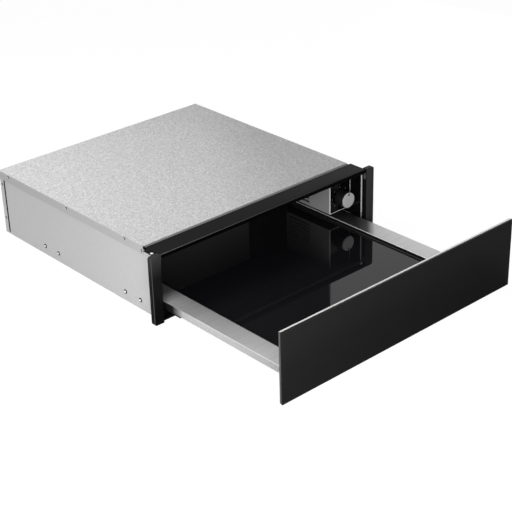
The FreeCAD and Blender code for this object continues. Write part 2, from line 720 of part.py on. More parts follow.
def make_front_crossbar():
    """Galvanised bar under the cover's front edge, with a front lip and a ridge."""
    body = new_body("front_crossbar")
    wide = (-liner_in, liner_in)
    front = -S.bar_front
    plate(body, wide, (front, S.bar_rear), (ceiling_under, cover_under))
    plate(body, wide, (front, front + S.sheet), (cover_under - S.bar_lip, ceiling_under))
    middle = -S.beam_rear / 2
    ridge = [(middle - S.sheet, cover_under), (middle + S.sheet, cover_under),
             (middle + S.sheet / 2, cover_under + S.bar_ridge),
             (middle - S.sheet / 2, cover_under + S.bar_ridge)]
    pad(body, "X", wide[0], wide[1], ridge)


def make_front_beam():
    """Black cross beam: channel with a folded front lip and a stepped ear at each end."""
    body = new_body("front_beam")
    end = post_in - S.beam_end_gap
    front = post_front
    rear = -S.beam_rear
    foot = beam_top - S.beam_lip
    section = [(front, foot), (front + S.beam_return, foot), (front + S.beam_return, foot + S.sheet),
               (front + S.sheet, foot + S.sheet), (front + S.sheet, beam_top - S.sheet),
               (rear - S.sheet, beam_top - S.sheet), (rear - S.sheet, cover_under),
               (rear, cover_under), (rear, beam_top), (front, beam_top)]
    pad(body, "X", -end, end, section)
    step = end + S.ear_step
    for side in (LEFT, RIGHT):
        high, low = ear_top[side], lug_top[side]
        ear = [(end - S.sheet, beam_top), (end, beam_top), (step, high), (ear_tip, high), (ear_tip, low),
               (step - S.sheet, low), (end - S.sheet, beam_top - S.sheet)]
        pad(body, "Y", -S.ear_front, -S.ear_rear, mirrored(side, ear))
        hole = ((side * ear_screw_x, -S.ear_screw), S.screw_shank)
        cut(body, "Z", low, high, hole)


def make_post(name, side):
    """Mounting post: rounded hollow channel, open behind, with two screw bosses."""
    body = new_body(name + "_post")
    wide = span(side, post_in, post_out)
    solid = pad(body, "Y", post_front, post_back, box((wide[0], S.post_foot), (wide[1], beam_top)))
    outer = side * post_out.value
    depth = S.post_depth.value
    names = edges_where(solid, lambda edge: abs(edge.BoundBox.YLength - depth) < 1e-4
                        and abs(edge.CenterOfMass.x - outer) < 1e-4)
    rounded = dress(body, "Fillet", solid, names, "Radius", S.post_round)
    doc.recompute()
    rear = post_back.value
    faces = ["Face%d" % number for number, face in enumerate(rounded.Shape.Faces, start=1)
             if abs(face.CenterOfMass.y - rear) < 1e-4]
    shell = body.newObject("PartDesign::Thickness", body.Name + "_shell")
    shell.Base = (rounded, faces)
    shell.Reversed = True
    bind(shell, "Value", S.post_wall)
    middle = side * (post_in + S.post_screw_in)
    bosses = [((middle, z), S.boss_round) for z in post_screw_levels()]
    pad(body, "Y", post_front + S.post_wall / 2, post_back, *bosses)
    bores = [((middle, z), S.screw_shank) for z in post_screw_levels()]
    cut(body, "Y", post_front + S.post_wall, post_back, *bores)


def make_side_liners():
    """Glossy inner side sheets."""
    members = []
    for name, side in SIDES:
        body = loose_body(name + "_liner")
        rear = back_in - S.liner_gap
        plate(body, span(side, liner_in, web_in), (post_back + S.sheet, rear), (S.liner_foot, ceiling_under))
        holes = [((y, z), S.screw_shank) for y, z in cover_screw_places()]
        x = span(side, liner_in, web_in)
        cut(body, "X", x[0], x[1], *holes)
        members.append(body)
    group("side_liners", members)


def make_ceiling_liner():
    """Inner sheet under the cover."""
    body = new_body("ceiling_liner")
    plate(body, (-liner_in, liner_in), (S.bar_rear, back_in - S.liner_gap), (ceiling_under, cover_under))


def make_edge_trims():
    """Bright vertical strips on the side sheets' front edges."""
    members = []
    for name, side in SIDES:
        body = loose_body(name + "_trim")
        outer = liner_in + S.trim_width
        plate(body, span(side, liner_in, outer), (post_back - S.trim_thick, post_back),
              (S.trim_foot, S.trim_head))
        members.append(body)
    group("edge_trims", members)


def make_front_buffers():
    """Rounded pads on the posts' inner walls."""
    members = []
    for name, side in SIDES:
        body = loose_body(name + "_buffer")
        top = beam_top - S.buffer_drop
        foot = top - S.buffer_height
        front = post_front + S.post_wall
        wide = span(side, post_in - S.buffer_thick, post_in)
        near, far = front, front + S.buffer_width
        round_in = S.buffer_width * 0.3
        outline = [(near, foot + round_in), (near + round_in, foot), (far - round_in, foot),
                   (far, foot + round_in), (far, top - round_in), (far - round_in, top),
                   (near + round_in, top), (near, top - round_in)]
        pad(body, "X", wide[0], wide[1], outline)
        members.append(body)
    group("front_buffers", members)


def make_control_box():
    """Sheet box in the front right corner: top, bottom, rear and right wall."""
    body = new_body("control_box")
    left = box_left + S.sheet
    plate(body, (box_right - S.sheet, box_right), (panel_rear, S.box_back), (S.box_foot, box_top))
    plate(body, (left, box_right - S.sheet), (panel_rear, S.box_back), (S.box_foot, S.box_foot + S.sheet))
    plate(body, (left, box_right - S.sheet), (panel_rear, S.box_back), (box_top - S.sheet, box_top))
    rear = (S.box_back - S.sheet, S.box_back)
    plate(body, (left, box_right - S.sheet), rear, (S.box_foot + S.sheet, box_top - S.sheet))
    cut(body, "Y", rear[0], rear[1], ((lead_x, lead_z), S.lead_radius + S.lead_play))


def make_louvre_panel():
    """Left wall of the control box: slots with a slanted fin inside each."""
    body = new_body("louvre_panel")
    plate(body, (box_left, box_left + S.sheet), (panel_rear, S.box_back), (S.box_foot, box_top))
    rows = 6
    slot_top = S.slot_first + S.slot_height
    slot_end = S.slot_front + S.slot_length
    opening = cut(body, "X", box_left, box_left + S.sheet,
                  box((S.slot_front, S.slot_first), (slot_end, slot_top)))
    repeat(body, opening, "Z", S.slot_spacing, rows)
    inner = box_left + S.sheet
    fin = [(box_left, slot_top - S.fin_thick), (inner + S.fin_lean, slot_top - S.fin_drop - S.fin_thick),
           (inner + S.fin_lean, slot_top - S.fin_drop), (inner, slot_top + S.fin_thick / 2),
           (box_left, slot_top + S.fin_thick / 2)]
    blade = pad(body, "Y", S.slot_front, slot_end, fin)
    repeat(body, blade, "Z", S.slot_spacing, rows)


def make_control_panel():
    """Glossy plate in front of the control box, with the spindle's hole."""
    body = new_body("control_panel")
    inside = (box_left + S.trim_band, box_right - S.trim_band)
    plate(body, inside, (panel_face, panel_rear), (S.box_foot + S.trim_band, box_top))
    hole = ((knob_x, S.knob_level), S.spindle_hole)
    cut(body, "Y", panel_face, panel_rear, hole)


def make_panel_trim():
    """Silver edging down both sides and along the bottom of the control panel."""
    body = new_body("panel_trim")
    front = panel_face - S.trim_proud
    inner = (box_left + S.trim_band, box_right - S.trim_band)
    band_top = S.box_foot + S.trim_band
    outline = [(box_left, S.box_foot), (box_right, S.box_foot), (box_right, box_top),
               (inner[1], box_top), (inner[1], band_top), (inner[0], band_top),
               (inner[0], box_top), (box_left, box_top)]
    pad(body, "Y", front, panel_rear, outline)


def make_selector_switch():
    """Rotary selector behind the panel, with a collar and the spindle's bore."""
    body = new_body("selector_switch")
    middle = (knob_x, S.knob_level)
    back = panel_rear + S.switch_step
    half = S.switch_width / 2
    pad(body, "Y", panel_rear, back, (middle, S.switch_collar))
    pad(body, "Y", back, back + S.switch_depth,
        box((knob_x - half, S.knob_level - half), (knob_x + half, S.knob_level + half)))
    tags = []
    for number in range(3):
        shift = S.tag_first + S.tag_spacing * number - half
        x, z = knob_x + shift, S.knob_level + shift
        tags.append(box((x, z), (x + S.tag_width, z + S.sheet)))
    pad(body, "Y", back + S.switch_depth, back + S.switch_depth + S.tag_length, *tags)
    cut(body, "Y", panel_rear, panel_rear + S.spindle_seat + 1, (middle, S.spindle_radius + S.spindle_play))


def make_knob():
    """Rotary control: hollow body on a hub, brushed cap and spindle."""
    tail = panel_face - S.knob_gap
    head = tail - S.knob_reach
    core = new_body("knob_body")
    rim = S.knob_radius
    profile = [(S.spindle_radius, head), (rim, head), (rim, tail - S.knob_edge),
               (rim - S.knob_edge, tail), (S.knob_hollow, tail), (S.knob_hollow, head + S.knob_floor),
               (S.knob_hub, head + S.knob_floor), (S.knob_hub, tail), (S.spindle_radius, tail)]
    revolve(core, profile)
    place(core, knob_x, ZERO, S.knob_level)
    cap = new_body("knob_cap")
    face = head - S.cap_thick
    edge = S.cap_edge
    profile = [(ZERO, face), (S.cap_radius - edge, face), (S.cap_radius, face + edge),
               (S.cap_radius, head - edge), (S.cap_radius - edge, head), (ZERO, head)]
    revolve(cap, profile)
    place(cap, knob_x, ZERO, S.knob_level)
    spindle = new_body("knob_spindle")
    pad(spindle, "Y", head, panel_rear + S.spindle_seat, ((ZERO, ZERO), S.spindle_radius))
    place(spindle, knob_x, ZERO, S.knob_level)


def make_fan_frame():
    """Square fan frame with a round bore and crossed spokes that carry the motor."""
    body = new_body("fan_frame")
    near = fan_rear - S.fan_thick
    half = S.fan_size / 2
    middle = (S.fan_middle, fan_axis_z)
    square = box((middle[0] - half, middle[1] - half), (middle[0] + half, middle[1] + half))
    pad(body, "X", near, fan_rear, square, (middle, S.fan_bore))
    spoke = S.spoke_width / 2
    start = fan_rear - S.spoke_thick
    reach = S.fan_bore + S.sheet
    pad(body, "X", start, fan_rear,
        box((middle[0] - spoke, middle[1] - reach), (middle[0] + spoke, middle[1] + reach)))
    pad(body, "X", start, fan_rear,
        box((middle[0] - reach, middle[1] - spoke), (middle[0] + reach, middle[1] + spoke)))
    pad(body, "X", start, fan_rear, (middle, S.motor_radius))


def make_fan_motor():
    """Stator of the fan, a drum with the shaft's bore."""
    body = new_body("fan_motor")
    end = fan_rear - S.spoke_thick
    start = end - S.motor_length
    middle = (S.fan_middle, fan_axis_z)
    pad(body, "X", start, end, (middle, S.rotor_radius - S.rotor_wall - S.motor_gap))
    cut(body, "X", start, start + S.shaft_seat + 1, (middle, S.shaft_radius + S.shaft_play))


def make_fan_impeller():
    """Rotor cup with seven twisted blades and its shaft, turning about X."""
    body = new_body("fan_impeller")
    end = fan_rear - S.spoke_thick - S.motor_gap
    start = end - S.rotor_length
    face = start + S.rotor_wall
    inner = S.rotor_radius - S.rotor_wall
    shaft_end = fan_rear - S.spoke_thick - S.motor_length + S.shaft_seat
    sketch = new_sketch(body, "Z", ZERO)
    draw_outline(sketch, [(start, ZERO), (shaft_end, ZERO), (shaft_end, S.shaft_radius),
                          (face, S.shaft_radius), (face, inner), (end, inner),
                          (end, S.rotor_radius), (start + S.sheet, S.rotor_radius),
                          (start, S.rotor_radius - S.sheet)])
    cup = body.newObject("PartDesign::Revolution", "rotor_cup")
    cup.Profile = sketch
    cup.ReferenceAxis = (sketch, ["H_Axis"])
    cup.Angle = 360
    middle = (start + end) / 2
    root = S.rotor_radius - S.rotor_wall / 2
    sections = []
    for share in (0.0, 0.5, 1.0):
        level = root + (S.blade_tip - root) * share
        pitch = S.blade_root_pitch + (S.blade_tip_pitch - S.blade_root_pitch) * share
        section = new_sketch(body, "Z", level)
        turn = Rotation(Vector(0, 0, 1), pitch.value)
        section.AttachmentOffset = Placement(Vector(middle.value, 0, level.value), turn)
        bind(section, "AttachmentOffset.Base.x", middle)
        bind(section, "AttachmentOffset.Rotation.Angle", pitch * Size(1, "1 deg"))
        half, thick = S.blade_chord / 2, S.blade_thick / 2
        draw_outline(section, [(-half, ZERO), (-half * 0.4, -thick), (half * 0.5, -thick * 0.8),
                               (half, ZERO), (half * 0.5, thick * 0.8), (-half * 0.4, thick)])
        sections.append(section)
    blade = body.newObject("PartDesign::AdditiveLoft", "fan_blade")
    blade.Profile = sections[0]
    blade.Sections = sections[1:]
    blade.Ruled = True
    ring = body.newObject("PartDesign::PolarPattern", "fan_blades")
    ring.Originals = [blade]
    ring.Axis = ([item for item in body.Origin.OriginFeatures if item.Role == "X_Axis"][0], [""])
    ring.Angle = 360
    ring.Occurrences = 7
    body.Tip = ring
    place(body, ZERO, S.fan_middle, fan_axis_z)


def make_heating_element():
    """Bent tube between fan and louvres: four runs joined by three bends."""
    body = new_body("heating_element")
    x = box_left + S.sheet + S.heater_in
    rear = S.box_back - S.sheet
    bend = S.heater_spacing / 2
    runs = 4
    path = new_sketch(body, "X", x)
    for number in range(runs):
        level = S.heater_first + S.heater_spacing * number
        back = rear if number in (0, runs - 1) else S.heater_rear
        start, finish = ((back, level), (S.heater_front, level))
        if number % 2:
            start, finish = finish, start
        index = path.GeometryCount
        path.addGeometry(Part.LineSegment(flat(start), flat(finish)), False)
        fix_point(path, index, 1, start)
        fix_point(path, index, 2, finish)
        if number == runs - 1:
            break
        middle = (finish[0], level + bend)
        forward = number % 2 == 0
        arc = Part.Circle(flat(middle), Vector(0, 0, 1), bend.value)
        angles = (math.pi / 2, 3 * math.pi / 2) if forward else (-math.pi / 2, math.pi / 2)
        path.addGeometry(Part.ArcOfCircle(arc, *angles), False)
        low, high = (2, 1) if forward else (1, 2)
        path.addConstraint(Sketcher.Constraint("Coincident", index, 2, index + 1, low))
        hold = Sketcher.Constraint("DistanceX", -1, 1, index + 1, 3, middle[0].value)
        bind(path, "Constraints[%d]" % path.addConstraint(hold), middle[0])
        hold = Sketcher.Constraint("DistanceY", -1, 1, index + 1, high, (level + S.heater_spacing).value)
        bind(path, "Constraints[%d]" % path.addConstraint(hold), level + S.heater_spacing)
        hold = Sketcher.Constraint("DistanceX", -1, 1, index + 1, high, middle[0].value)
        bind(path, "Constraints[%d]" % path.addConstraint(hold), middle[0])
    profile = new_sketch(body, "Y", rear)
    draw_circle(profile, (x, S.heater_first), S.heater_radius)
    tube = body.newObject("PartDesign::AdditivePipe", "heating_tube")
    tube.Profile = profile
    tube.Spine = path


def make_thermal_cutout():
    """Round thermal cut-out under the box's top."""
    body = new_body("thermal_cutout")
    middle = (box_left + S.cutout_in, S.cutout_back)
    top = box_top - S.sheet
    low = top - S.cutout_height
    pad(body, "Z", low, top, (middle, S.cutout_radius))
    for shift in (-1, 1):
        x, y = middle[0] + shift * S.cutout_tab_out, middle[1]
        tab = box((x - S.sheet, y - S.cutout_tab_half), (x + S.sheet, y + S.cutout_tab_half))
        pad(body, "Z", low - S.cutout_tab, low, tab)


def make_terminal_block():
    """Terminal block on the box's right wall, where the mains lead ends."""
    body = new_body("terminal_block")
    front = terminal_rear - S.block_length
    right = box_right - S.sheet
    left = right - S.terminal_width
    low = lead_z - S.terminal_height / 2
    plate(body, (left, right), (front, terminal_rear), (low, low + S.terminal_height))
    slots = []
    for number in range(3):
        middle = left + S.terminal_first + S.terminal_spacing * number
        foot = low + S.terminal_low
        slots.append(box((middle - S.terminal_half, foot), (middle + S.terminal_half, foot + S.terminal_tall)))
    cut(body, "Y", front, front + S.terminal_deep, *slots)


def make_mains_lead():
    """Lead from the terminal block straight back to the gland, clear above the drawer."""
    body = new_body("mains_lead")
    pad(body, "Y", terminal_rear, back_in - S.gland_reach, ((lead_x, lead_z), S.lead_radius))


def make_cable_inlet():
    """Gland in the back sheet that the mains lead enters through."""
    body = new_body("cable_inlet")
    middle = (lead_x, lead_z)
    pad(body, "Y", back_in - S.gland_reach, back_out, (middle, S.gland_radius))
    pad(body, "Y", back_out, back_out + S.gland_flange_thick, (middle, S.gland_flange))
    cut(body, "Y", back_out - S.sheet, back_out + S.gland_flange_thick, (middle, S.lead_radius))


def make_rail_bracket(name, side):
    """Folded carrier of a runner: outer web on the side sheet, foot and inner web."""
    body = new_body(name + "_rail_bracket")
    outer = web_in - S.bracket_sheet
    inner = slide_fixed + S.bracket_sheet
    foot = S.carrier_foot
    shelf = foot + S.bracket_sheet
    section = [(slide_fixed, foot), (web_in, foot), (web_in, S.carrier_head), (outer, S.carrier_head),
               (outer, shelf), (inner, shelf), (inner, S.carrier_inner_head),
               (slide_fixed, S.carrier_inner_head)]
    low = span(side, outer, web_in)
    pad(body, "Y", -S.carrier_front, S.cabinet_start + S.cabinet_length, mirrored(side, section))
    holes = [((y, S.rivet_level), S.rivet_shank) for y in rivet_places()]
    cut(body, "X", low[0], low[1], *holes)


def make_rail_end_blocks():
    """Black stepped blocks on the front ends of the rail brackets."""
    members = []
    for name, side in SIDES:
        body = loose_body(name + "_end_block")
        inner = slide_fixed - S.block_gap
        outer = inner + S.block_width
        step = outer - S.block_tall_width
        outline = [(inner, S.carrier_foot), (outer, S.carrier_foot), (outer, S.block_head),
                   (step, S.block_head), (step, S.block_step), (inner, S.block_step)]
        pad(body, "Y", post_back + S.sheet, -S.carrier_front, mirrored(side, outline))
        members.append(body)
    group("rail_end_blocks", members)


def channel(side, web, edge, half, thick):
    """Section of a rail in X and Z: a web near the fixed face and two flanges."""
    level = S.slide_level
    outline = [(web, level - half), (edge, level - half), (edge, level - half + thick),
               (web - thick, level - half + thick), (web - thick, level + half - thick),
               (edge, level + half - thick), (edge, level + half), (web, level + half)]
    return mirrored(side, outline)


def groove_places(side, height, depth):
    """Ball rows of a runner in X and Z, below and above the middle height."""
    x = side * (slide_fixed - depth)
    return [(x, S.slide_level - height), (x, S.slide_level + height)]


def make_rail(label, side, outline, start, length, rows):
    """Rail of constant section with a groove along each row of balls."""
    body = new_body(label)
    pad(body, "Y", start, start + length, outline)
    grooves = [(middle, S.groove_radius) for middle in rows]
    cut(body, "Y", start, start + length, *grooves)


def make_rails(name, side):
    """Cabinet, middle and drawer rail of one runner, drawn out."""
    outer_rows = groove_places(side, S.outer_ball_height, S.outer_ball_depth)
    inner_rows = groove_places(side, S.inner_ball_height, S.inner_ball_depth)
    thick = S.rail_sheet
    cabinet = channel(side, slide_fixed, slide_fixed - S.cabinet_depth, S.cabinet_half, thick)
    make_rail(name + "_cabinet_rail", side, cabinet, S.cabinet_start, S.cabinet_length, outer_rows)
    web = slide_fixed - S.rail_sheet - S.middle_gap
    middle = channel(side, web, slide_fixed - S.middle_depth, S.middle_half, thick)
    make_rail(name + "_middle_rail", side, middle, S.middle_start - S.travel / 2, S.middle_length,
              outer_rows + inner_rows)
    level, half = S.slide_level, S.drawer_half
    drawer = [(slide_tray, level - half), (slide_fixed - S.drawer_depth, level - half),
              (slide_fixed - S.drawer_depth, level - half + thick), (slide_tray + thick, level - half + thick),
              (slide_tray + thick, level + half - thick),
              (slide_fixed - S.drawer_depth, level + half - thick),
              (slide_fixed - S.drawer_depth, level + half), (slide_tray, level + half)]
    make_rail(name + "_drawer_rail", side, mirrored(side, drawer), S.drawer_rail_start - S.travel,
              S.drawer_rail_length, inner_rows)


BALL_ROWS = 4


def make_cage(label, side, web, height, depth, start):
    """Folded ball cage with a window for each ball."""
    body = loose_body(label)
    thick = S.cage_sheet
    half = height + thick / 2
    edge = slide_fixed - depth - S.cage_margin
    pad(body, "Y", start, start + S.cage_length, channel(side, web, edge, half, thick))
    middle = side * (slide_fixed - depth)
    reach = S.ball_radius + S.ball_play
    first = start + S.ball_end + S.ball_radius
    window = box((middle - reach, first - reach), (middle + reach, first + reach))
    low = S.slide_level - half
    feature = cut(body, "Z", low, low + 2 * half, window)
    repeat(body, feature, "Y", S.ball_spacing, BALL_ROWS)
    return body


def make_cages(kind, web, height, depth, start):
    """Both cages of one kind and their balls."""
    cages = []
    balls = []
    master = doc.addObject("Part::Sphere", kind + "_ball_master")
    bind(master, "Radius", S.ball_radius)
    for name, side in SIDES:
        cages.append(make_cage("%s_%s_cage" % (name, kind), side, web, height, depth, start))
        for number in range(BALL_ROWS):
            y = start + S.ball_end + S.ball_radius + S.ball_spacing * number
            for x, z in groove_places(side, height, depth):
                ball = doc.addObject("App::Link", "%s_%s_ball" % (name, kind))
                ball.LinkedObject = master
                ball.LinkTransform = False
                place(ball, x, y, z)
                balls.append(ball)
    group(kind + "_ball_cages", cages)
    group(kind + "_balls", balls)


def make_latch():
    """Push catch on the base: body, sprung plunger and the drawer's striker."""
    body = new_body("latch_body")
    half = S.latch_width / 2
    end = latch_front + S.latch_length
    plate(body, (-half, half), (latch_front, end), (S.sheet, S.latch_height))
    wide = S.plunger_width / 2 + S.plunger_play
    tall = S.plunger_height / 2 + S.plunger_play
    hole = box((-wide, S.latch_level - tall), (wide, S.latch_level + tall))
    depth = S.plunger_seat + S.plunger_travel + S.plunger_play
    cut(body, "Y", latch_front, latch_front + depth, hole)
    plunger = new_body("latch_plunger")
    wide = S.plunger_width / 2
    tall = S.plunger_height / 2
    shape = box((-wide, S.latch_level - tall), (wide, S.latch_level + tall))
    solid = pad(plunger, "Y", latch_front - S.plunger_reach, latch_front + S.plunger_seat, shape)
    nose = (latch_front - S.plunger_reach).value
    names = edges_where(solid, lambda edge: abs(edge.CenterOfMass.y - nose) < 1e-4)
    dress(plunger, "Chamfer", solid, names, "Size", S.sheet)
    striker = new_body("latch_striker")
    half = S.striker_width / 2
    rear = tray_end - S.striker_back
    front = rear - S.striker_base
    plate(striker, (-half, half), (front, rear), (tray_under - S.striker_sheet, tray_under))
    plate(striker, (-half, half), (rear - S.striker_sheet, rear),
          (S.striker_foot, tray_under - S.striker_sheet))


def make_front_panel():
    """Front glass with a chamfered face, bonded to a shallow metal back."""
    glass = new_body("front_glass")
    half = S.panel_width / 2
    head = S.panel_foot + S.panel_height
    seam = panel_back - S.frame_depth
    face = seam - S.panel_glass
    solid = pad(glass, "Y", face, seam, box((-half, S.panel_foot), (half, head)))
    names = edges_where(solid, lambda edge: abs(edge.CenterOfMass.y - face.value) < 1e-4)
    dress(glass, "Chamfer", solid, names, "Size", S.glass_edge)
    frame = new_body("front_frame")
    rim = half - S.frame_inset
    low, high = S.panel_foot + S.frame_inset, head - S.frame_inset
    pad(frame, "Y", seam, panel_back, box((-rim, low), (rim, high)))
    wall = S.frame_sheet
    cut(frame, "Y", seam, panel_back - wall, box((-rim + wall, low + wall), (rim - wall, high - wall)))
    holes = [((side * x, z), S.screw_shank) for side in (LEFT, RIGHT) for x, z in front_screw_places()]
    cut(frame, "Y", panel_back - wall, panel_back, *holes)


def front_screw_places():
    """Front screws of one bracket as (x, z)."""
    level = S.bracket_foot + S.front_screw_low
    outer = S.bracket_out - S.bracket_sheet - S.front_screw_edge
    return [(outer, level), (outer - S.front_screw_spacing, level)]


def make_front_brackets():
    """Corner brackets between the front panel and the ledges."""
    members = []
    for name, side in SIDES:
        body = loose_body(name + "_front_bracket")
        outer = S.bracket_out
        inner = outer - S.bracket_wide
        sheet = S.bracket_sheet
        head = ledge_under
        reach = panel_back + S.bracket_length
        wide = span(side, inner, outer)
        plate(body, wide, (panel_back, panel_back + sheet), (S.bracket_foot, head))
        plate(body, wide, (panel_back + sheet, reach), (head - sheet, head))
        plate(body, span(side, outer - sheet, outer), (panel_back + sheet, reach), (S.bracket_foot, head - sheet))
        holes = [((side * x, z), S.screw_shank) for x, z in front_screw_places()]
        cut(body, "Y", panel_back, panel_back + sheet, *holes)
        members.append(body)
    group("front_brackets", members)


def make_ledge(name, side):
    """Brushed side ledge: inner wall, top and a shorter outer flange."""
    body = new_body(name + "_ledge")
    thick = S.tray_sheet
    foot = S.ledge_top - S.ledge_drop
    plate(body, span(side, ledge_in, ledge_out), (panel_back, tray_end), (ledge_under, S.ledge_top))
    plate(body, span(side, ledge_in, ledge_in + thick), (panel_back, tray_end), (floor_under, ledge_under))
    start = panel_back + S.ledge_notch
    plate(body, span(side, ledge_out - thick, ledge_out), (start, tray_end), (foot, ledge_under))


def make_tray_pan():
    """Pan under the glass floor, with skirts that the drawer rails are fixed to."""
    body = new_body("tray_pan")
    plate(body, (-slide_tray, slide_tray), (tray_start, tray_end), (tray_under, floor_under))
    for side in (LEFT, RIGHT):
        skirt = span(side, slide_tray - S.tray_sheet, slide_tray)
        plate(body, skirt, (tray_start, tray_end), (S.tray_skirt, tray_under))
    inner = slide_tray - S.tray_sheet
    plate(body, (-inner, inner), (tray_end - S.tray_sheet, tray_end), (S.rear_skirt, tray_under))
    holes = [((x, tray_end - S.rear_wall_foot / 2 + S.tray_sheet / 2), S.screw_shank) for x in tray_screws()]
    cut(body, "Z", tray_under, floor_under, *holes)


def tray_screws():
    """Tray screws from left to right."""
    near = S.tray_screw_first
    far = near + S.tray_screw_spacing
    return (-far, -near, near, far)


def make_glass_floor():
    """Glass floor and the seal that frames it."""
    glass = new_body("glass_floor")
    edge = ledge_in - S.seal_width
    front = panel_back + S.bracket_sheet + S.seal_width
    rear = rear_wall_front - S.seal_width
    plate(glass, (-edge, edge), (front, rear), (floor_under, S.floor_top))
    seal = new_body("floor_seal")
    outer = box((-ledge_in, front - S.seal_width), (ledge_in, rear_wall_front))
    inner = box((-edge, front), (edge, rear))
    pad(seal, "Z", floor_under, S.floor_top + S.seal_rise, outer, inner)


def make_rear_wall():
    """Rear wall of the drawer on a foot, with a top return."""
    body = new_body("rear_wall")
    thick = S.tray_sheet
    edge = ledge_in
    top = S.rear_wall_height
    section = [(rear_wall_front, floor_under), (tray_end, floor_under), (tray_end, floor_under + thick),
               (rear_wall_front + thick, floor_under + thick), (rear_wall_front + thick, top - thick),
               (rear_wall_front + S.rear_wall_return, top - thick),
               (rear_wall_front + S.rear_wall_return, top), (rear_wall_front, top)]
    pad(body, "X", -edge, edge, section)
    for side in (LEFT, RIGHT):
        plate(body, span(side, edge - thick, edge), (rear_wall_front + thick, rear_wall_front + S.rear_wall_return),
              (floor_under + thick, top - thick))
    holes = [((x, tray_end - S.rear_wall_foot / 2 + thick / 2), S.screw_shank) for x in tray_screws()]
    cut(body, "Z", floor_under, floor_under + thick, *holes)


def make_fasteners():
    """Rivets and screws."""
    rivets = []
    case = []
    beam = []
    posts = []
    fronts = []
    cover_out = S.half_width + S.sheet
    for side in (LEFT, RIGHT):
        outward = (side, 0, 0)
        rivets += [(side * S.half_width, y, S.rivet_level, outward) for y in rivet_places()]
        case += [(side * cover_out, y, z, outward) for y, z in cover_screw_places()]
        case += [(side * S.half_width, y, z, outward) for y, z in back_screw_places()]
        beam.append((side * ear_screw_x, -S.ear_screw, ear_top[side], (0, 0, 1)))
        post_x = side * (post_in + S.post_screw_in)
        posts += [(post_x, post_back + S.sheet, z, (0, 1, 0)) for z in post_screw_levels()]
        fronts += [(side * x, panel_back + S.bracket_sheet, z, (0, 1, 0)) for x, z in front_screw_places()]
    tray_y = tray_end - S.rear_wall_foot / 2 + S.tray_sheet / 2
    tray = [(x, tray_y, floor_under + S.tray_sheet, (0, 0, 1)) for x in tray_screws()]
    head, dome, shank = S.screw_head, S.screw_dome, S.screw_shank
    fasteners("case_screws", domed(head, dome, shank, S.screw_length / 2), case)
    grip = S.sheet + S.bracket_sheet + S.rivet_dome / 2
    rivet = domed(S.rivet_head, S.rivet_dome, S.rivet_shank, grip, tail=S.rivet_shank * 1.6)
    fasteners("rail_rivets", rivet, rivets)
    fasteners("beam_screws", domed(S.beam_screw_head, S.beam_screw_dome, shank, S.screw_length), beam)
    fasteners("post_screws", countersunk(S.sunk_head, shank, S.screw_length), posts)
    fasteners("front_screws", domed(head, dome, shank, S.bracket_sheet + S.frame_sheet), fronts)
    fasteners("tray_screws", domed(head, dome, shank, S.screw_length / 2), tray)


def build():
    """Build every piece."""
    make_base_panel()
    for name, side in SIDES:
        make_side_panel(name, side)
        make_post(name, side)
        make_rail_bracket(name, side)
        make_rails(name, side)
        make_ledge(name, side)
    make_back_panel()
    make_top_cover()
    make_front_crossbar()
    make_front_beam()
    make_side_liners()
    make_ceiling_liner()
    make_edge_trims()
    make_front_buffers()
    make_control_box()
    make_louvre_panel()
    make_control_panel()
    make_panel_trim()
    make_selector_switch()
    make_knob()
    make_fan_frame()
    make_fan_motor()
    make_fan_impeller()
    make_heating_element()
    make_thermal_cutout()
    make_terminal_block()
    make_mains_lead()
    make_cable_inlet()
    make_rail_end_blocks()
    web = slide_fixed - S.rail_sheet - S.cage_gap
    make_cages("outer", web, S.outer_ball_height, S.outer_ball_depth, S.outer_cage_start - S.travel / 4)
    web = slide_fixed - S.rail_sheet - S.middle_gap - S.rail_sheet - S.cage_gap
    make_cages("inner", web, S.inner_ball_height, S.inner_ball_depth, S.inner_cage_start - S.travel * 0.75)
    make_latch()
    make_front_panel()
    make_front_brackets()
    make_tray_pan()
    make_glass_floor()
    make_rear_wall()
    make_fasteners()
    doc.recompute()


def check():
    """Stop if a feature failed, a cut took nothing away or a solid isn't sound."""
    faults = [item.Name for item in doc.Objects if "Invalid" in item.State or "Error" in item.State]
    for feature in CUTS:
        base = feature.BaseFeature
        if base is None or base.Shape.Volume - feature.Shape.Volume < 1e-3:
            faults.append(feature.Name + " cuts nothing")
    for label, item in NODES.items():
        shape = item.Shape
        if shape.isNull() or not shape.isValid() or not shape.Solids:
            faults.append(label + " has no sound shape")
    if faults:
        raise RuntimeError("Faults: " + ", ".join(faults))


def export():
    """Write each node's shape."""
    os.makedirs("parts", exist_ok=True)
    for label, item in NODES.items():
        item.Shape.exportStep("parts/%s.step" % label)
    print("%d nodes written" % len(NODES))


build()
check()
export()
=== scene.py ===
"""Looks of the built-in warming drawer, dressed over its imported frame.

Lengths are in metres. X runs to the right, Y to the back and Z up. The drawer stands fully out.
"""
import json
import logging
import math
from collections.abc import Iterable, Sequence
from dataclasses import dataclass, field
from enum import Enum

import bmesh
import bpy
from mathutils import Matrix, Vector


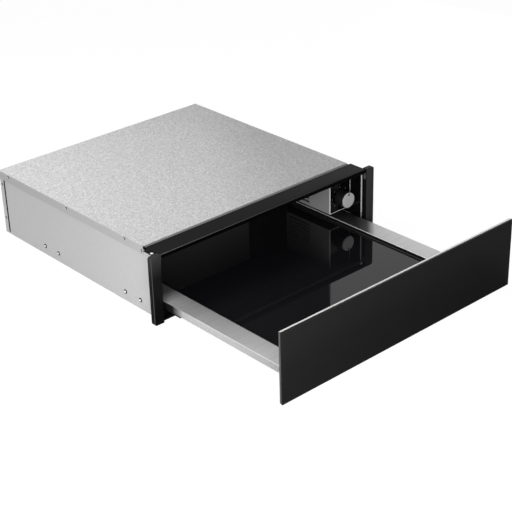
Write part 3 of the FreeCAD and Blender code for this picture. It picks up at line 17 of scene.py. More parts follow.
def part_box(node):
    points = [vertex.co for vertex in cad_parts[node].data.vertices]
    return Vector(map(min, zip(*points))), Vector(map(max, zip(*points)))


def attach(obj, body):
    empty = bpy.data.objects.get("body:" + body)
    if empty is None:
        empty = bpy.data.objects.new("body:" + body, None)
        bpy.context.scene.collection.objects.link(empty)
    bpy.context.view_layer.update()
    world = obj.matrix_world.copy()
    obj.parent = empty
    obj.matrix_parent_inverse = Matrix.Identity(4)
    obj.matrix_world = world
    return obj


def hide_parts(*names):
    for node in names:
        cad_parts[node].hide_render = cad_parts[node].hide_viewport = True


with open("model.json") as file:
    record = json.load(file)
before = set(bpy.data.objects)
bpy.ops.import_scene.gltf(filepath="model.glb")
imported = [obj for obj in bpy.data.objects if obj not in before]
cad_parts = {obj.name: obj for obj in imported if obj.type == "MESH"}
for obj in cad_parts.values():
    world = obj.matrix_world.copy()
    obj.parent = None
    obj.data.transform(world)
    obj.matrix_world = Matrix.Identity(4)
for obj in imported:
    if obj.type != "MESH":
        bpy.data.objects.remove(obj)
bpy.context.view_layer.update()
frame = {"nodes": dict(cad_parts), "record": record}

LOG = logging.getLogger("warming_drawer")
Colour = tuple[float, float, float]
Point = tuple[float, float, float]
Span = tuple[float, float]
Socket = bpy.types.NodeSocket
MM = 0.001
SHARP = 0.1 * MM
SAME_PLACE = 1e-6
SMOOTH_BELOW = 35.0


class Body(str, Enum):
    """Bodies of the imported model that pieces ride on."""

    HOUSING = "housing"
    DRAWER = "drawer"
    KNOB = "knob"


class Grain(Enum):
    """Axis that a brushed finish runs along."""

    X = 0
    Y = 1
    Z = 2


class Axis(Enum):
    """Axis that a turned form stands on, with the turn that brings Z onto it."""

    X = ("Y", 90.0)
    Y = ("X", -90.0)
    Z = ("Z", 0.0)

    def turn(self, flip: bool = False) -> Matrix:
        """Give the rotation from Z onto this axis.

        Args:
            flip: whether the form points down the axis.

        Returns:
            The rotation matrix.
        """
        name, angle = self.value
        turned = Matrix.Rotation(math.radians(angle), 4, name)
        return turned @ Matrix.Rotation(math.pi, 4, "X") if flip else turned


class Nodes:
    """A node tree, with the steps that materials and the world share."""

    def __init__(self, tree: bpy.types.NodeTree) -> None:
        """Take up a tree."""
        self.tree = tree

    def add(self, kind: str, **settings: object) -> bpy.types.Node:
        """Add a node.

        Args:
            kind: Blender's name for the node.
            settings: properties of the node.

        Returns:
            The node.
        """
        node = self.tree.nodes.new(kind)
        for key, value in settings.items():
            setattr(node, key, value)
        return node

    def link(self, source: object, socket: Socket) -> None:
        """Link a socket, or set it.

        Args:
            source: the socket that it gets its value from, or the value.
            socket: the socket.
        """
        if isinstance(source, Socket):
            self.tree.links.new(source, socket)
        else:
            socket.default_value = source

    def feed(self, node: bpy.types.Node, **sources: object) -> bpy.types.Node:
        """Link or set sockets of a node by their names.

        Args:
            node: the node.
            sources: source for each socket, named with underscores for blanks.

        Returns:
            The node.
        """
        for key, source in sources.items():
            self.link(source, node.inputs[key.replace("_", " ")])
        return node

    def calculate(self, operation: str, first: object, second: object) -> Socket:
        """Join two values.

        Args:
            operation: Blender's name for the operation.
            first: socket or value.
            second: socket or value.

        Returns:
            The result.
        """
        node = self.add("ShaderNodeMath", operation=operation)
        for source, socket in zip((first, second), node.inputs):
            self.link(source, socket)
        return node.outputs["Value"]

    def product(self, first: object, second: object) -> Socket:
        """Multiply two values."""
        return self.calculate("MULTIPLY", first, second)

    def larger(self, first: object, second: object) -> Socket:
        """Take the larger of two values."""
        return self.calculate("MAXIMUM", first, second)


class Graph(Nodes):
    """Node tree of one material, with the patterns that the finishes share."""

    def __init__(self, name: str) -> None:
        """Start a material.

        Args:
            name: the material's name.
        """
        self.material = bpy.data.materials.new(name)
        self.material.use_nodes = True
        super().__init__(self.material.node_tree)
        self.shader = self.tree.nodes["Principled BSDF"]
        self.place = self.add("ShaderNodeTexCoord").outputs["Object"]

    def along(self, axis: str) -> Socket:
        """Give the object's coordinate along X, Y or Z."""
        parts = self.add("ShaderNodeSeparateXYZ")
        return self.feed(parts, Vector=self.place).outputs[axis]

    def slope(self, direction: Point) -> Socket:
        """Give the distance along a direction.

        Args:
            direction: the direction; the distance is scaled by its length.

        Returns:
            The distance from the origin.
        """
        node = self.add("ShaderNodeVectorMath", operation="DOT_PRODUCT")
        for source, socket in zip((self.place, direction), node.inputs):
            self.link(source, socket)
        return node.outputs["Value"]

    def stretched(self, scale: Sequence[float]) -> Socket:
        """Give the object's coordinates, scaled along each axis."""
        mapping = self.add("ShaderNodeMapping")
        return self.feed(mapping, Vector=self.place, Scale=tuple(scale)).outputs["Vector"]

    def noise(self, scale: float, detail: float, place: Socket | None = None) -> Socket:
        """Give a noise between 0 and 1.

        Args:
            scale: cycles in a metre.
            detail: octaves of the noise.
            place: coordinates, or none for the object's own.

        Returns:
            The noise's value.
        """
        node = self.add("ShaderNodeTexNoise")
        self.feed(node, Vector=place or self.place, Scale=scale, Detail=detail, Roughness=0.55)
        return node.outputs["Fac"]

    def cells(self, size: float) -> Socket:
        """Give a random value for each cell.

        Args:
            size: size of a cell in metres.

        Returns:
            The cell's value, between 0 and 1.
        """
        node = self.add("ShaderNodeTexVoronoi", feature="F1")
        self.feed(node, Vector=self.place, Scale=1 / size)
        parts = self.add("ShaderNodeSeparateColor")
        return self.feed(parts, Color=node.outputs["Color"]).outputs["Red"]

    def spread(self, source: Socket, low: float, high: float, start: float = 0.0,
               end: float = 1.0) -> Socket:
        """Map a value onto a range, and hold it there.

        Args:
            source: the value.
            low: result at start.
            high: result at end.
            start: lower end of the value.
            end: upper end of the value.

        Returns:
            The mapped value.
        """
        node = self.add("ShaderNodeMapRange")
        self.feed(node, Value=source, From_Min=start, From_Max=end, To_Min=low, To_Max=high)
        return node.outputs["Result"]

    def step(self, source: Socket, low: float, high: float, edge: float,
             width: float = SHARP) -> Socket:
        """Change from one level to another at a sharp edge.

        Args:
            source: place along the way.
            low: level before the edge.
            high: level past the edge.
            edge: place where the change starts.
            width: width of the change.

        Returns:
            The level.
        """
        return self.spread(source, low, high, edge, edge + width)

    def joined(self, first: Socket, second: Socket, share: float) -> Socket:
        """Add two values by their shares.

        Args:
            first: the first value.
            second: the second value.
            share: share of the first; the second has the rest.

        Returns:
            The sum.
        """
        parts = self.product(first, share), self.product(second, 1.0 - share)
        return self.calculate("ADD", *parts)

    def chosen(self, share: Socket, first: object, second: object) -> Socket:
        """Go from one value to another.

        Args:
            share: 0 for the first and 1 for the second.
            first: socket or value.
            second: socket or value.

        Returns:
            The value between them.
        """
        node = self.add("ShaderNodeMix", data_type="FLOAT")
        return self.feed(node, Factor=share, A=first, B=second).outputs[0]

    def tone(self, colour: Colour, share: Socket) -> None:
        """Set the base colour to a share of a colour.

        Args:
            colour: the whole colour.
            share: the share, which may pass 1.
        """
        node = self.add("ShaderNodeVectorMath", operation="SCALE")
        node.inputs[0].default_value = colour
        self.feed(node, Scale=share)
        self.feed(self.shader, Base_Color=node.outputs["Vector"])

    def tint(self, source: Socket, colour: Colour, low: float, high: float) -> None:
        """Vary the base colour by a value between 0 and 1.

        Args:
            source: the value.
            colour: the plain colour.
            low: brightness at 0.
            high: brightness at 1.
        """
        node = self.add("ShaderNodeMix", data_type="RGBA")
        self.feed(node, Factor=source)
        node.inputs[6].default_value = (*shade(colour, low), 1.0)
        node.inputs[7].default_value = (*shade(colour, high), 1.0)
        self.feed(self.shader, Base_Color=node.outputs[2])

    def gloss(self, source: Socket, roughness: float, swing: float) -> None:
        """Vary the roughness by a value between 0 and 1.

        Args:
            source: the value.
            roughness: the middle roughness.
            swing: change to either side.
        """
        level = self.spread(source, roughness - swing, roughness + swing)
        self.feed(self.shader, Roughness=level)

    def relief(self, height: Socket, depth: float, strength: float) -> None:
        """Give the surface a fine relief.

        Args:
            height: the relief, from 0 to 1.
            depth: its depth in metres.
            strength: share of the relief that shows.
        """
        node = self.add("ShaderNodeBump")
        self.feed(node, Height=height, Distance=depth, Strength=strength)
        self.feed(self.shader, Normal=node.outputs["Normal"])


def shade(colour: Colour, factor: float) -> Colour:
    """Give a colour made darker or lighter by a factor."""
    return tuple(min(1.0, part * factor) for part in colour)


@dataclass(frozen=True)
class Ramp:
    """Even change of brightness between two places.

    Attributes:
        low: brightness up to the start.
        high: brightness past the end.
        start: place where the change starts.
        end: place where it ends.
    """

    low: float
    high: float
    start: float
    end: float

    def over(self, graph: Graph, place: Socket) -> Socket:
        """Give the brightness at a place."""
        return graph.spread(place, self.low, self.high, self.start, self.end)


@dataclass(frozen=True)
class Finish:
    """A surface finish; each kind adds its own pattern.

    Attributes:
        name: name of the material.
        colour: linear base colour.
        roughness: roughness of the surface.
        metallic: share of metal.
        specular: strength of the mirror reflection of a surface that isn't metal.
    """

    name: str
    colour: Colour
    roughness: float
    metallic: float = 0.0
    specular: float = 0.5

    def material(self) -> bpy.types.Material:
        """Make the material, or find it when it is made already.

        Returns:
            The material.
        """
        known = bpy.data.materials.get(self.name)
        if known:
            return known
        graph = Graph(self.name)
        graph.feed(graph.shader, Base_Color=(*self.colour, 1.0), Roughness=self.roughness,
                   Metallic=self.metallic, Specular_IOR_Level=self.specular)
        self.pattern(graph)
        return graph.material

    def pattern(self, graph: Graph) -> None:
        """Add what makes this finish more than one flat colour.

        Args:
            graph: the material's nodes.
        """
        cloud = graph.noise(scale=40.0, detail=3.0)
        graph.tint(cloud, self.colour, low=0.92, high=1.08)
        graph.gloss(cloud, self.roughness, swing=0.15 * self.roughness)


@dataclass(frozen=True)
class Spangle(Finish):
    """Hot-dip galvanised sheet with a fine crystal pattern.

    Attributes:
        cell: size of a crystal in metres.
        contrast: brightness step between crystals.
    """

    cell: float = 3.0 * MM
    contrast: float = 0.06

    def pattern(self, graph: Graph) -> None:
        """Give each crystal its own brightness and gloss.

        Args:
            graph: the material's nodes.
        """
        crystals = graph.cells(self.cell)
        fine = graph.noise(1.0 / self.cell, detail=2.0)
        both = graph.joined(crystals, fine, share=0.55)
        graph.tint(both, self.colour, 1 - self.contrast, 1 + self.contrast)
        graph.gloss(crystals, self.roughness, swing=0.08)
        graph.relief(fine, depth=0.02 * MM, strength=0.25)


@dataclass(frozen=True)
class CoverSpangle(Spangle):
    """Galvanised cover: coarse crystals on its top, a smoother and darker band on its flanges,
    and painted shade towards its front right corner.

    Attributes:
        fold: height of the fold between top and flanges.
        band: brightness of the flanges beside the top.
        towards: direction to the front right corner.
        corner: painted shade: how the cover darkens towards that corner.
    """

    fold: float = 140.8 * MM
    band: float = 0.86
    towards: Point = (1.0, -0.6, 0.0)
    corner: Ramp = Ramp(1.0, 0.82, -60.0 * MM, 110.0 * MM)

    def pattern(self, graph: Graph) -> None:
        """Give the top its crystals and the flanges their tone.

        Args:
            graph: the material's nodes.
        """
        crystals = graph.cells(self.cell)
        top = graph.step(graph.along("Z"), 0.0, 1.0, self.fold)
        light = graph.spread(crystals, 1.0 - self.contrast, 1.0 + self.contrast)
        level = graph.chosen(top, self.band, light)
        # painted shade that darkens the cover towards its front right corner
        fall = self.corner.over(graph, graph.slope(self.towards))
        graph.tone(self.colour, graph.product(level, fall))
        graph.gloss(crystals, self.roughness, swing=0.06)


@dataclass(frozen=True)
class Brushed(Finish):
    """Metal with a brushed grain along one axis.

    Attributes:
        grain: axis of the grain.
        contrast: brightness step between strokes.
        stretch: how far the gloss is drawn out across the grain.
        fineness: share that the pattern's scale keeps along the grain.
    """

    grain: Grain = Grain.X
    contrast: float = 0.06
    stretch: float = 0.0
    fineness: float = 0.04

    def pattern(self, graph: Graph) -> None:
        """Draw long strokes along the grain.

        Args:
            graph: the material's nodes.
        """
        scale = [1.0, 1.0, 1.0]
        scale[self.grain.value] = self.fineness
        place = graph.stretched(scale)
        strokes = graph.noise(scale=900.0, detail=4.0, place=place)
        bands = graph.noise(scale=330.0, detail=2.0, place=place)
        both = graph.joined(strokes, bands, share=0.4)
        light = graph.spread(both, 1 - self.contrast, 1 + self.contrast, start=0.25, end=0.75)
        shading = self.shading(graph)
        graph.tone(self.colour, graph.product(light, shading) if shading else light)
        graph.gloss(both, self.roughness, swing=0.06)
        graph.relief(strokes, depth=0.01 * MM, strength=0.3)
        if self.stretch:
            across = graph.feed(graph.add("ShaderNodeCombineXYZ"), Y=1.0).outputs["Vector"]
            graph.feed(graph.shader, Anisotropic=self.stretch, Tangent=across)

    def shading(self, graph: Graph) -> Socket | None:
        """Give a change of brightness over the piece, or none."""
        return None


@dataclass(frozen=True)
class LeftLedgeSteel(Brushed):
    """Steel of the left ledge: painted shade inside the housing and on its flange beside the
    post, painted highlights on its top and fold.

    Attributes:
        flange: X of the flange's face.
        sheen: painted highlight: how the top brightens towards the post, along Y.
        shadow: painted shadow: how the top darkens behind the post.
        fall: painted shade: how the top dims from the front panel on.
        fold: brightness of the painted highlight on the fold between top and flange.
        edge: painted highlight: how the flange brightens towards the post.
        nook: painted shade: how the flange darkens beside the post.
    """

    flange: float = -255.9 * MM
    sheen: Ramp = Ramp(1.0, 1.85, -115.0 * MM, -60.0 * MM)
    shadow: Ramp = Ramp(1.0, 0.2, -54.0 * MM, -14.0 * MM)
    fall: Ramp = Ramp(0.98, 0.79, -330.0 * MM, -200.0 * MM)
    fold: float = 2.0
    edge: Ramp = Ramp(0.95, 1.5, -340.0 * MM, -110.0 * MM)
    nook: Ramp = Ramp(1.0, 0.02, -98.0 * MM, -66.0 * MM)

    def shading(self, graph: Graph) -> Socket:
        """Paint shade on the top behind the post and on the flange beside it, and highlights on
        the top, fold and flange.

        Args:
            graph: the material's nodes.

        Returns:
            The brightness.
        """
        far, side = graph.along("Y"), graph.along("X")
        top = graph.product(self.sheen.over(graph, far), self.shadow.over(graph, far))
        top = graph.product(top, self.fall.over(graph, far))
        fold = graph.step(side, self.fold, 0.0, self.flange + 8 * SHARP, 2 * SHARP)
        edge = graph.product(self.edge.over(graph, far), self.nook.over(graph, far))
        inner = graph.step(side, 0.0, 1.0, self.flange - SHARP, 2 * SHARP)
        return graph.chosen(inner, edge, graph.larger(top, fold))


@dataclass(frozen=True)
class RightLedgeSteel(Brushed):
    """Steel of the right ledge: painted shade up to a slanting edge, a painted highlight on the
    fold over an inner wall in painted shade.

    Attributes:
        inner: X of the inner wall's face.
        top: Z of the ledge's top.
        slant: direction across the slanting edge.
        shadow: painted shadow: how the top darkens across the edge.
        depth: painted shade: how it darkens further.
        fold: brightness of the painted highlight on the fold between top and inner wall.
        wall: brightness of the painted shade on the inner wall.
    """

    inner: float = 214.6 * MM
    top: float = 37.5 * MM
    slant: Point = (-1.0, 1.0, 0.0)
    shadow: Ramp = Ramp(1.0, 0.14, -348.0 * MM, -324.0 * MM)
    depth: Ramp = Ramp(1.0, 0.3, -324.0 * MM, -290.0 * MM)
    fold: float = 1.34
    wall: float = 0.01

    def shading(self, graph: Graph) -> Socket:
        """Paint shade on the part beside the housing and on the inner wall, and a highlight on
        the fold between.

        Args:
            graph: the material's nodes.

        Returns:
            The brightness.
        """
        across, side = graph.slope(self.slant), graph.along("X")
        edge = graph.product(self.shadow.over(graph, across), self.depth.over(graph, across))
        fold = graph.step(side, self.fold, 0.0, self.inner + 12 * SHARP, 2 * SHARP)
        past = graph.step(side, self.wall, 1.0, self.inner + 8 * SHARP)
        above = graph.step(graph.along("Z"), self.wall, 1.0, self.top - 9 * SHARP, 2 * SHARP)
        return graph.product(graph.larger(edge, fold), graph.larger(past, above))


@dataclass(frozen=True)
class DarkEnds(Brushed):
    """Brushed metal with painted shade at its left and right ends.

    Attributes:
        side: distance from the middle where the ends begin.
        dark: brightness of the painted shade on the ends.
    """

    side: float = 296.1 * MM
    dark: float = 0.12

    def shading(self, graph: Graph) -> Socket:
        """Paint shade on the ends."""
        out = graph.calculate("ABSOLUTE", graph.along("X"), 0.0)
        return graph.step(out, 1.0, self.dark, self.side)


@dataclass(frozen=True)
class Paint(Finish):
    """Sprayed or powdered paint with a faint orange peel.

    Attributes:
        peel: size of the peel in metres.
    """

    peel: float = 0.8 * MM

    def pattern(self, graph: Graph) -> None:
        """Vary the colour softly and add the peel."""
        graph.tint(self.peeled(graph), self.colour, low=0.9, high=1.1)

    def peeled(self, graph: Graph) -> Socket:
        """Add the peel and a soft change of gloss.

        Args:
            graph: the material's nodes.

        Returns:
            The noise behind the change of gloss.
        """
        cloud = graph.noise(scale=12.0, detail=2.0)
        graph.gloss(cloud, self.roughness, swing=0.04)
        graph.relief(graph.noise(1 / self.peel, detail=2.0), depth=0.01 * MM, strength=0.4)
        return cloud


@dataclass(frozen=True)
class ShadedPaint(Paint):
    """Black paint with painted shade that changes its brightness along one direction.

    Attributes:
        along: the direction.
        knee: place along the direction where the steeper part begins.
        crown: place where it ends.
        shares: brightness at the foot, at the knee and at the crown.
        right_end: X of the middle of the edge of a right end in painted shade, or 0 for none.
        lit: direction across an edge with a painted highlight, place where it begins, and its
            brightness.
    """

    along: Point = (0.0, 0.0, 1.0)
    knee: float = 100.0 * MM
    crown: float = 141.0 * MM
    shares: tuple[float, float, float] = (0.02, 0.2, 1.0)
    right_end: float = 0.0
    lit: tuple[Point, float, float] | None = None

    def pattern(self, graph: Graph) -> None:
        """Paint shade along its direction, with a shaded right end and a painted highlight where
        set, and add the peel.

        Args:
            graph: the material's nodes.
        """
        foot, middle, top = self.shares
        place = graph.slope(self.along)
        lower = graph.spread(place, foot, middle, 0.2 * self.knee, self.knee)
        upper = graph.spread(place, 1.0, top / middle, self.knee, self.crown)
        level = graph.product(lower, upper)
        # painted shade on the right end
        if self.right_end:
            edge = self.right_end - 5 * SHARP
            level = graph.product(level, graph.step(graph.along("X"), 1.0, 0.1, edge, 10 * SHARP))
        # painted highlight in a band along an edge
        if self.lit:
            across, start, share = self.lit
            level = graph.larger(level, graph.step(graph.slope(across), 0.0, share, start))
        graph.tone(self.colour, level)
        self.peeled(graph)


@dataclass(frozen=True)
class Gloss(Finish):
    """Glass or enamel: a smooth dark face with faint smears."""

    def pattern(self, graph: Graph) -> None:
        """Add smears that only change the gloss a little.

        Args:
            graph: the material's nodes.
        """
        smear = graph.noise(scale=9.0, detail=4.0)
        graph.gloss(smear, self.roughness, swing=0.5 * self.roughness)
        graph.tint(smear, self.colour, low=0.85, high=1.15)


@dataclass(frozen=True)
class Moulded(Finish):
    """Moulded plastic or rubber with a fine spark texture.

    Attributes:
        spark: size of the texture in metres.
    """

    spark: float = 0.35 * MM

    def pattern(self, graph: Graph) -> None:
        """Add the texture of the mould.

        Args:
            graph: the material's nodes.
        """
        spark = graph.noise(1 / self.spark, detail=2.0)
        graph.tint(spark, self.colour, low=0.88, high=1.12)
        graph.gloss(spark, self.roughness, swing=0.06)
        graph.relief(spark, depth=0.02 * MM, strength=0.4)


@dataclass(frozen=True)
class Plated(Finish):
    """Zinc or nickel plating with small clouds in its gloss."""

    def pattern(self, graph: Graph) -> None:
        """Add clouds.

        Args:
            graph: the material's nodes.
        """
        cloud = graph.noise(scale=300.0, detail=3.0)
        graph.tint(cloud, self.colour, low=0.9, high=1.06)
        graph.gloss(cloud, self.roughness, swing=0.3 * self.roughness)


@dataclass(frozen=True)
class WallSteel(Finish):
    """Steel of the drawer's rear wall, with painted shade towards its top and beside the control
    box.

    Attributes:
        rise: painted shade: how the wall dims with its height.
        split: X of the sharp edge of the part in painted shade.
        dark: brightness of that part.
        floor: brightness that the darkest places keep.
    """

    rise: Ramp = Ramp(1.0, 0.55, 40.0 * MM, 130.0 * MM)
    split: float = 102.0 * MM
    dark: float = 0.15
    floor: float = 0.02

    def pattern(self, graph: Graph) -> None:
        """Paint shade on the wall by height, and step it down past the split.

        Args:
            graph: the material's nodes.
        """
        rise = self.rise.over(graph, graph.along("Z"))
        step = graph.step(graph.along("X"), 1.0, self.dark, self.split, 15 * SHARP)
        graph.tint(graph.product(rise, step), self.colour, self.floor, 1.0)
        smear = graph.noise(scale=9.0, detail=4.0)
        graph.gloss(smear, self.roughness, swing=0.2 * self.roughness)


def grey(level: float, blue: float = 0.0) -> Colour:
    """Give a grey, with a little more or less blue."""
    return (level, level, level + blue)


ZINC = Spangle("galvanised sheet", grey(0.655, 0.002), 0.5, 0.25)
ZINC_COVER = CoverSpangle("galvanised cover", grey(0.645, 0.002), 0.5, 0.25, cell=2.0 * MM,
                          contrast=0.24)
# the crossbar's dark grey is painted shade under the beam's rear edge
SHADED_ZINC_BAR = Spangle("crossbar in painted shade", grey(0.21), 0.5, 0.25)
BLACK_PAINT = Paint("satin black paint", grey(0.007, 0.0002), 0.4, specular=0.2)
# painted light: the beam's front lip and right end are in painted shade, with a painted highlight
# along its front top edge
BEAM_PAINT = ShadedPaint("black beam paint", grey(0.012, 0.0002), 0.5, specular=0.05,
                         along=(0.0, 1.0, 0.0), knee=-54.4 * MM, crown=-54.0 * MM,
                         shares=(0.05, 0.05, 1.0), right_end=267.0 * MM,
                         lit=((-0.0018, -1.0, 1.0), 197.95 * MM, 7.5))
# painted light: the left post's base is lighter than the black paint, shaded towards its foot,
# with a painted highlight on its front left edge
LEFT_POST_PAINT = ShadedPaint("black paint of the left post", grey(0.036, 0.0005), 0.4,
                              specular=0.08, shares=(0.08, 0.2, 1.0),
                              lit=((-1.0, -1.0, 0.0), 343.5 * MM, 1.8))
# painted light: the right post's base is lighter than the black paint, and its inner side is in
# painted shade
RIGHT_POST_PAINT = ShadedPaint("black paint of the right post", grey(0.053, 0.0005), 0.4,
                               specular=0.08, along=(1.0, 0.0, 0.0), knee=268.15 * MM,
                               crown=268.5 * MM, shares=(0.12, 0.12, 1.0))
BLACK_ENAMEL = Gloss("black enamel", grey(0.004, 0.0005), 0.12)
BLACK_GLASS = Gloss("black glass", grey(0.0040, 0.0012), 0.02)
FLOOR_GLASS = Gloss("glass floor", grey(0.0074, 0.0014), 0.02, specular=0.25)
FRONT_GLASS = Gloss("front glass", grey(0.0030), 0.12, specular=0.47)
WALL_STEEL = WallSteel("rear wall steel", (0.34, 0.35, 0.33), 0.35)
BRIGHT_TRIM = Brushed("bright trim", grey(0.98), 0.3, 0.1, grain=Grain.Z)
# painted shade on the outer ends of the edge trims and the front frame
EDGE_TRIM = DarkEnds("bright edge trim", grey(0.98), 0.3, 0.1, grain=Grain.Z, side=264.7 * MM)
FRAME_METAL = DarkEnds("front frame metal", grey(0.88), 0.32, 0.4)
LEDGE_STEEL = Brushed("brushed ledge steel", grey(0.50), 0.42, 0.3, contrast=0.16, stretch=0.5)
# the two ledges' greys are painted light: shaded and lit copies of one steel
LEFT_LEDGE_STEEL = LeftLedgeSteel("steel of the left ledge", grey(0.45), 0.42, 0.3,
                                  contrast=0.16, stretch=0.5)
# its lighter grey is painted light
RIGHT_LEDGE_STEEL = RightLedgeSteel("steel of the right ledge", grey(0.73), 0.42, 0.3,
                                    contrast=0.12, stretch=0.5)
CAP_STEEL = Brushed("brushed knob cap", grey(0.86), 0.34, 0.35, contrast=0.08)
TRAY_STEEL = Spangle("tray steel", grey(0.55), 0.42, 0.7, contrast=0.05)
SCREW_STEEL = Plated("plated screws", grey(0.95), 0.3, specular=0.9)
MATT_BLACK = Moulded("matt black", grey(0.003), 0.8, specular=0.02)
RAIL_STEEL = Plated("rail steel", grey(0.60), 0.26, 1.0)
CAGE_STEEL = Plated("cage steel", grey(0.45), 0.35, 1.0)
BALL_STEEL = Plated("ball steel", grey(0.80), 0.10, 1.0)
MIDDLE_STEEL = Plated("dark middle rail", grey(0.05, 0.002), 0.35, 0.8)
HEATER_STEEL = Plated("heater sheath", (0.20, 0.18, 0.16), 0.45, 0.9)
BOX_PAINT = Paint("grey box paint", grey(0.30), 0.45)
BLACK_PLASTIC = Moulded("black plastic", grey(0.014), 0.5)
KNOB_PLASTIC = Moulded("knob plastic", grey(0.01), 0.3)
GREY_PLASTIC = Moulded("grey buffer plastic", grey(0.10), 0.5)
SEAL_RUBBER = Moulded("seal rubber", (0.034, 0.037, 0.034), 0.6)
WHITE_PLASTIC = Moulded("white plastic", (0.70, 0.69, 0.66), 0.45)
PRINT = Moulded("dial print", grey(0.30), 0.5)

SLOT_FINISH: dict[str, Finish] = {
    "galvanised": ZINC,
    "black_paint": BLACK_PAINT,
    "black_enamel": BLACK_ENAMEL,
    "bright_trim": BRIGHT_TRIM,
    "grey_plastic": GREY_PLASTIC,
    "grey_paint": BOX_PAINT,
    "black_glass": BLACK_GLASS,
    "switch_plastic": WHITE_PLASTIC,
    "knob_plastic": KNOB_PLASTIC,
    "spindle_steel": RAIL_STEEL,
    "fan_plastic": BLACK_PLASTIC,
    "motor_steel": CAGE_STEEL,
    "heater_steel": HEATER_STEEL,
    "cutout_metal": CAGE_STEEL,
    "lead_jacket": BLACK_PLASTIC,
    "gland_plastic": BLACK_PLASTIC,
    "black_plastic": BLACK_PLASTIC,
    "latch_plastic": GREY_PLASTIC,
    "rail_steel": RAIL_STEEL,
    "middle_rail_steel": MIDDLE_STEEL,
    "cage_steel": CAGE_STEEL,
    "ball_steel": BALL_STEEL,
    "frame_aluminium": FRAME_METAL,
    "bracket_steel": ZINC,
    "ledge_steel": LEDGE_STEEL,
    "tray_steel": TRAY_STEEL,
    "seal_rubber": SEAL_RUBBER,
    "rivet_steel": SCREW_STEEL,
    "screw_steel": SCREW_STEEL,
    "beam_screw_steel": SCREW_STEEL,
}

NODE_FINISH: dict[str, Finish] = {
    "base_panel": BLACK_PAINT,
    "left_rail_bracket": MATT_BLACK,
    "right_rail_bracket": MATT_BLACK,
    "rail_end_blocks": MATT_BLACK,
    "edge_trims": EDGE_TRIM,
    "top_cover": ZINC_COVER,
    "front_crossbar": SHADED_ZINC_BAR,
    "front_beam": BEAM_PAINT,
    "left_post": LEFT_POST_PAINT,
    "right_post": RIGHT_POST_PAINT,
    "front_glass": FRONT_GLASS,
    "glass_floor": FLOOR_GLASS,
    "left_ledge": LEFT_LEDGE_STEEL,
    "right_ledge": RIGHT_LEDGE_STEEL,
    "rear_wall": WALL_STEEL,
}


def slot_of(node: str) -> str:
    """Give the material slot that the record names for a CAD node.

    Args:
        node: the node's name.

    Returns:
        The slot's name.
    """
    slots = {part["node"]: part["material_slot"] for part in frame["record"]["subparts"]}
    return slots[node]


def finish_of(node: str) -> Finish:
    """Give the finish of a CAD node: its own, or else that of its slot."""
    return NODE_FINISH.get(node) or SLOT_FINISH[slot_of(node)]


class Form:
    """A mesh in the making."""

    def __init__(self) -> None:
        """Start with an empty mesh."""
        self.mesh = bmesh.new()

    def block(self, low: Point, high: Point) -> None:
        """Add a box between two corners.

        Args:
            low: its lowest corner.
            high: its highest corner.
        """
        made = bmesh.ops.create_cube(self.mesh, size=1.0)["verts"]
        low, high = Vector(low), Vector(high)
        bmesh.ops.scale(self.mesh, vec=high - low, verts=made)
        bmesh.ops.translate(self.mesh, vec=(low + high) / 2, verts=made)

    def turned(self, outline: Sequence[Span], steps: int, place: Matrix) -> None:
        """Turn an outline about Z and put it in place.

        Args:
            outline: points of radius and height, from the foot to the crown.
            steps: steps of the turn.
            place: where the form goes.
        """
        line = [self.mesh.verts.new((radius, 0.0, height)) for radius, height in outline]
        edges = [self.mesh.edges.new(pair) for pair in zip(line, line[1:])]
        known = set(self.mesh.verts) - set(line)
        bmesh.ops.spin(self.mesh, geom=[*line, *edges], cent=(0, 0, 0), axis=(0, 0, 1),
                       dvec=(0, 0, 0), angle=math.tau, steps=steps, use_merge=True,
                       use_duplicate=False)
        made = [vert for vert in self.mesh.verts if vert not in known]
        bmesh.ops.remove_doubles(self.mesh, verts=made, dist=SAME_PLACE)
        made = [vert for vert in self.mesh.verts if vert not in known]
        bmesh.ops.transform(self.mesh, matrix=place, verts=made)

    def copied(self, node: str) -> None:
        """Start from the merged surface of a CAD node.

        Args:
            node: the node's name.
        """
        self.mesh.from_mesh(frame["nodes"][node].data)
        bmesh.ops.remove_doubles(self.mesh, verts=self.mesh.verts, dist=SAME_PLACE)
        bmesh.ops.dissolve_limit(self.mesh, angle_limit=math.radians(0.5),
                                 verts=self.mesh.verts, edges=self.mesh.edges)

    def softened(self, width: float, segments: int, angle: float = 40.0) -> None:
        """Round the edges that are sharper than an angle.

        Args:
            width: width of the rounding in metres.
            segments: steps of the rounding.
            angle: least angle in degrees.
        """
        limit = math.radians(angle)
        edges = [edge for edge in self.mesh.edges
                 if len(edge.link_faces) == 2 and edge.calc_face_angle(0.0) > limit]
        bmesh.ops.bevel(self.mesh, geom=edges, offset=width, offset_type="OFFSET",
                        affect="EDGES", segments=segments, profile=0.5, material=-1,
                        clamp_overlap=True)

    def piece(self, name: str, body: Body, finish: Finish, slot: str,
              replaces: Iterable[str] = (), smooth: float = 0.0) -> None:
        """Finish the form as a piece of the scene.

        Args:
            name: the piece's name.
            body: the body it rides on.
            finish: its finish.
            slot: the record's slot that its finish comes from; not used.
            replaces: CAD nodes that it stands for.
            smooth: shade smooth below this angle in degrees, or flat for 0.
        """
        bmesh.ops.recalc_face_normals(self.mesh, faces=self.mesh.faces)
        data = bpy.data.meshes.new(name)
        self.mesh.to_mesh(data)
        self.mesh.free()
        data.materials.append(finish.material())
        if smooth:
            data.shade_smooth()
            data.set_sharp_from_angle(angle=math.radians(smooth))
        item = bpy.data.objects.new(name, data)
        bpy.context.scene.collection.objects.link(item)
        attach(item, body.value)
        if replaces:
            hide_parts(*replaces)
        LOG.info("%s: %d faces, on %s", name, len(data.polygons), body.value)


